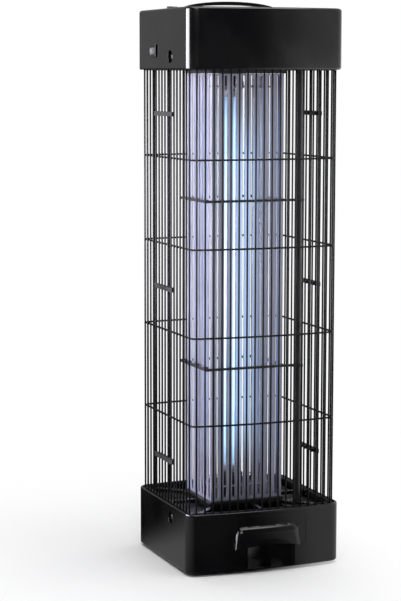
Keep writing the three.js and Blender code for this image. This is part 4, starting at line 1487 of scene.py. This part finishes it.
# ---------------------------------------------------------------- studio
@dataclass
class Studio:
    """Camera, soft lights, pale floor and surroundings."""

    eye_target: tuple[float, float, float] = (-0.0456, 0.0, 0.2966)
    distance: float = 2.1153
    yaw: float = 21.346
    pitch: float = 6.916
    roll: float = 0.075
    focal: float = 74.58
    sensor: float = 24.0
    light_aim: float = 0.34

    def build(self) -> None:
        """Sets up everything that is not part of the object."""
        self.camera()
        self.floor()
        self.lights()
        self.world()

    def camera(self) -> None:
        """Places the camera at the front left, a little below the cap's roof."""
        yaw, pitch = math.radians(self.yaw), math.radians(self.pitch)
        level = math.cos(pitch)
        ahead = Vector((math.sin(yaw) * level, math.cos(yaw) * level, -math.sin(pitch)))
        data = bpy.data.cameras.new("camera")
        data.sensor_fit = "VERTICAL"
        data.sensor_height = self.sensor
        data.lens = self.focal
        camera = bpy.data.objects.new("camera", data)
        place = Matrix.Translation(Vector(self.eye_target) - ahead * self.distance)
        look = ahead.to_track_quat("-Z", "Y").to_matrix().to_4x4()
        camera.matrix_world = place @ look @ Matrix.Rotation(math.radians(self.roll), 4, "Z")
        bpy.context.collection.objects.link(camera)
        bpy.context.scene.camera = camera

    def floor(self) -> None:
        """A wide pale floor that fades into the white behind it, and shows painted light in
        reflections.

        The camera sees it pale. Its reflections show painted light: dark at the front left,
        and brighter to the right and far to the rear, from emission that only glossy rays see.
        """
        Bench.clear()
        bpy.ops.mesh.primitive_plane_add(size=24)
        floor = Bench.named("studio_floor")
        material = bpy.data.materials.new("pale_floor")
        material.use_nodes = True
        tree = material.node_tree
        shader = tree.nodes["Principled BSDF"]
        shader.inputs["Base Color"].default_value = (0.82, 0.82, 0.82, 1)
        shader.inputs["Roughness"].default_value = 0.9
        shader.inputs["Specular IOR Level"].default_value = 0.05
        place = tree.nodes.new("ShaderNodeTexCoord").outputs["Object"]
        split = split_xyz(tree, place)
        length = tree.nodes.new("ShaderNodeVectorMath")
        length.operation = "LENGTH"
        tree.links.new(place, length.inputs[0])
        x, y, distance = split.outputs["X"], split.outputs["Y"], length.outputs["Value"]
        afar = spread(tree, distance, (0.18, 0.6))
        aside = spread(tree, x, (-0.02, 0.2))
        fade = math_of(tree, "MAXIMUM", afar, aside)
        # painted reflection light: emission seen only by glossy rays, set by bearing and distance
        # from the tower
        bearing = math_of(tree, "DIVIDE", x, distance)
        right = spread(tree, bearing, (0.22, 0.64), (0.015, 1.7))
        reach = spread(tree, distance, (0.3, 3.0), (0.4, 1.6))
        right = math_of(tree, "MULTIPLY", right, reach)
        left = spread(tree, bearing, (-0.6, -0.95), (0.0, 0.35))
        rear = spread(tree, y, (0.1, 2.0), (0.0, 0.1))
        total = math_of(tree, "ADD", math_of(tree, "ADD", right, left), rear)
        white = tree.nodes.new("ShaderNodeEmission")
        painted_reflection = tree.nodes.new("ShaderNodeEmission")
        tree.links.new(total, painted_reflection.inputs["Strength"])
        path = tree.nodes.new("ShaderNodeLightPath")
        near = tree.nodes.new("ShaderNodeMixShader")
        pick = tree.nodes.new("ShaderNodeMixShader")
        tree.links.new(fade, near.inputs["Fac"])
        tree.links.new(shader.outputs["BSDF"], near.inputs[1])
        tree.links.new(white.outputs["Emission"], near.inputs[2])
        tree.links.new(path.outputs["Is Glossy Ray"], pick.inputs["Fac"])
        tree.links.new(near.outputs["Shader"], pick.inputs[1])
        tree.links.new(painted_reflection.outputs["Emission"], pick.inputs[2])
        tree.links.new(pick.outputs["Shader"], tree.nodes["Material Output"].inputs["Surface"])
        floor.data.materials.append(material)

    def softbox(
        self, name: str, azimuth: float, distance: float, height: float, size: tuple[float, float],
        power: float, colour: Colour = (1.0, 1.0, 1.0), diffuse: bool = True, glossy: bool = True,
    ) -> None:
        """Adds one rectangular soft light that faces the middle of the tower.

        Args:
            name: the light's name.
            azimuth: degrees from the front, positive to the right.
            distance: metres from the tower's axis.
            height: metres above the floor.
            size: width and height of its face in metres.
            power: watts.
            colour: light colour.
            diffuse: False where it only shows as a reflection.
            glossy: False where it doesn't show as a reflection.
        """
        data = bpy.data.lights.new(name, "AREA")
        data.shape = "RECTANGLE"
        data.size, data.size_y = size
        data.energy = power
        data.color = colour
        light = bpy.data.objects.new(name, data)
        angle = math.radians(azimuth)
        place = Vector((math.sin(angle) * distance, -math.cos(angle) * distance, height))
        aim = Vector((0, 0, self.light_aim)) - place
        look = aim.to_track_quat("-Z", "Y").to_matrix().to_4x4()
        light.matrix_world = Matrix.Translation(place) @ look
        light.visible_camera = False
        light.visible_diffuse = diffuse
        light.visible_glossy = glossy
        bpy.context.collection.objects.link(light)

    def lights(self) -> None:
        """A broad top light, a bright strip far round to the left and gentle fills."""
        self.softbox("top_light", 0, 0.4, 2.6, (2.4, 2.2), 62)
        self.softbox("left_strip", -110, 1.9, 0.2, (1.35, 2.4), 210, (0.93, 0.91, 1.0), False)
        self.softbox("front_fill", -25, 2.6, 1.5, (1.6, 1.2), 22, (0.97, 0.97, 1.0))
        self.softbox("rear_light", 180, 2.0, 1.3, (2.4, 1.6), 18, glossy=False)

    def world(self) -> None:
        """The camera sees plain white; reflections see grey, darker at the front left."""
        world = bpy.data.worlds.new("studio_world")
        bpy.context.scene.world = world
        bpy.context.scene.view_settings.view_transform = "Standard"
        world.use_nodes = True
        tree = world.node_tree
        plain = tree.nodes["Background"]
        plain.inputs["Color"].default_value = (1, 1, 1, 1)
        split = split_xyz(tree, tree.nodes.new("ShaderNodeTexCoord").outputs["Generated"])
        rear = spread(tree, split.outputs["Y"], (-0.8, 0.9), (0.03, 0.42))
        right = spread(tree, split.outputs["X"], (0.33, 0.64), (0.0, 0.78))
        total = math_of(tree, "ADD", rear, right)
        lit = tree.nodes.new("ShaderNodeBackground")
        path = tree.nodes.new("ShaderNodeLightPath")
        mix = tree.nodes.new("ShaderNodeMixShader")
        tree.links.new(total, lit.inputs["Strength"])
        tree.links.new(path.outputs["Is Camera Ray"], mix.inputs["Fac"])
        tree.links.new(lit.outputs["Background"], mix.inputs[1])
        tree.links.new(plain.outputs["Background"], mix.inputs[2])
        tree.links.new(mix.outputs["Shader"], tree.nodes["World Output"].inputs["Surface"])


def main() -> None:
    """Builds the zapper and its studio in order."""
    logging.basicConfig(level=logging.INFO, format="%(name)s %(message)s")
    NodeShop()
    paint = Paint()
    outline = BowedOutline.of_housing()
    for assembly in (
        Housings(outline, paint),
        Tray(outline, paint),
        Cage(outline, paint),
        Electrodes(paint),
        Lamp(paint),
        Controls(paint),
        Electrics(paint),
        Studio(),
    ):
        assembly.build()


if __name__ == "__main__":
    main()
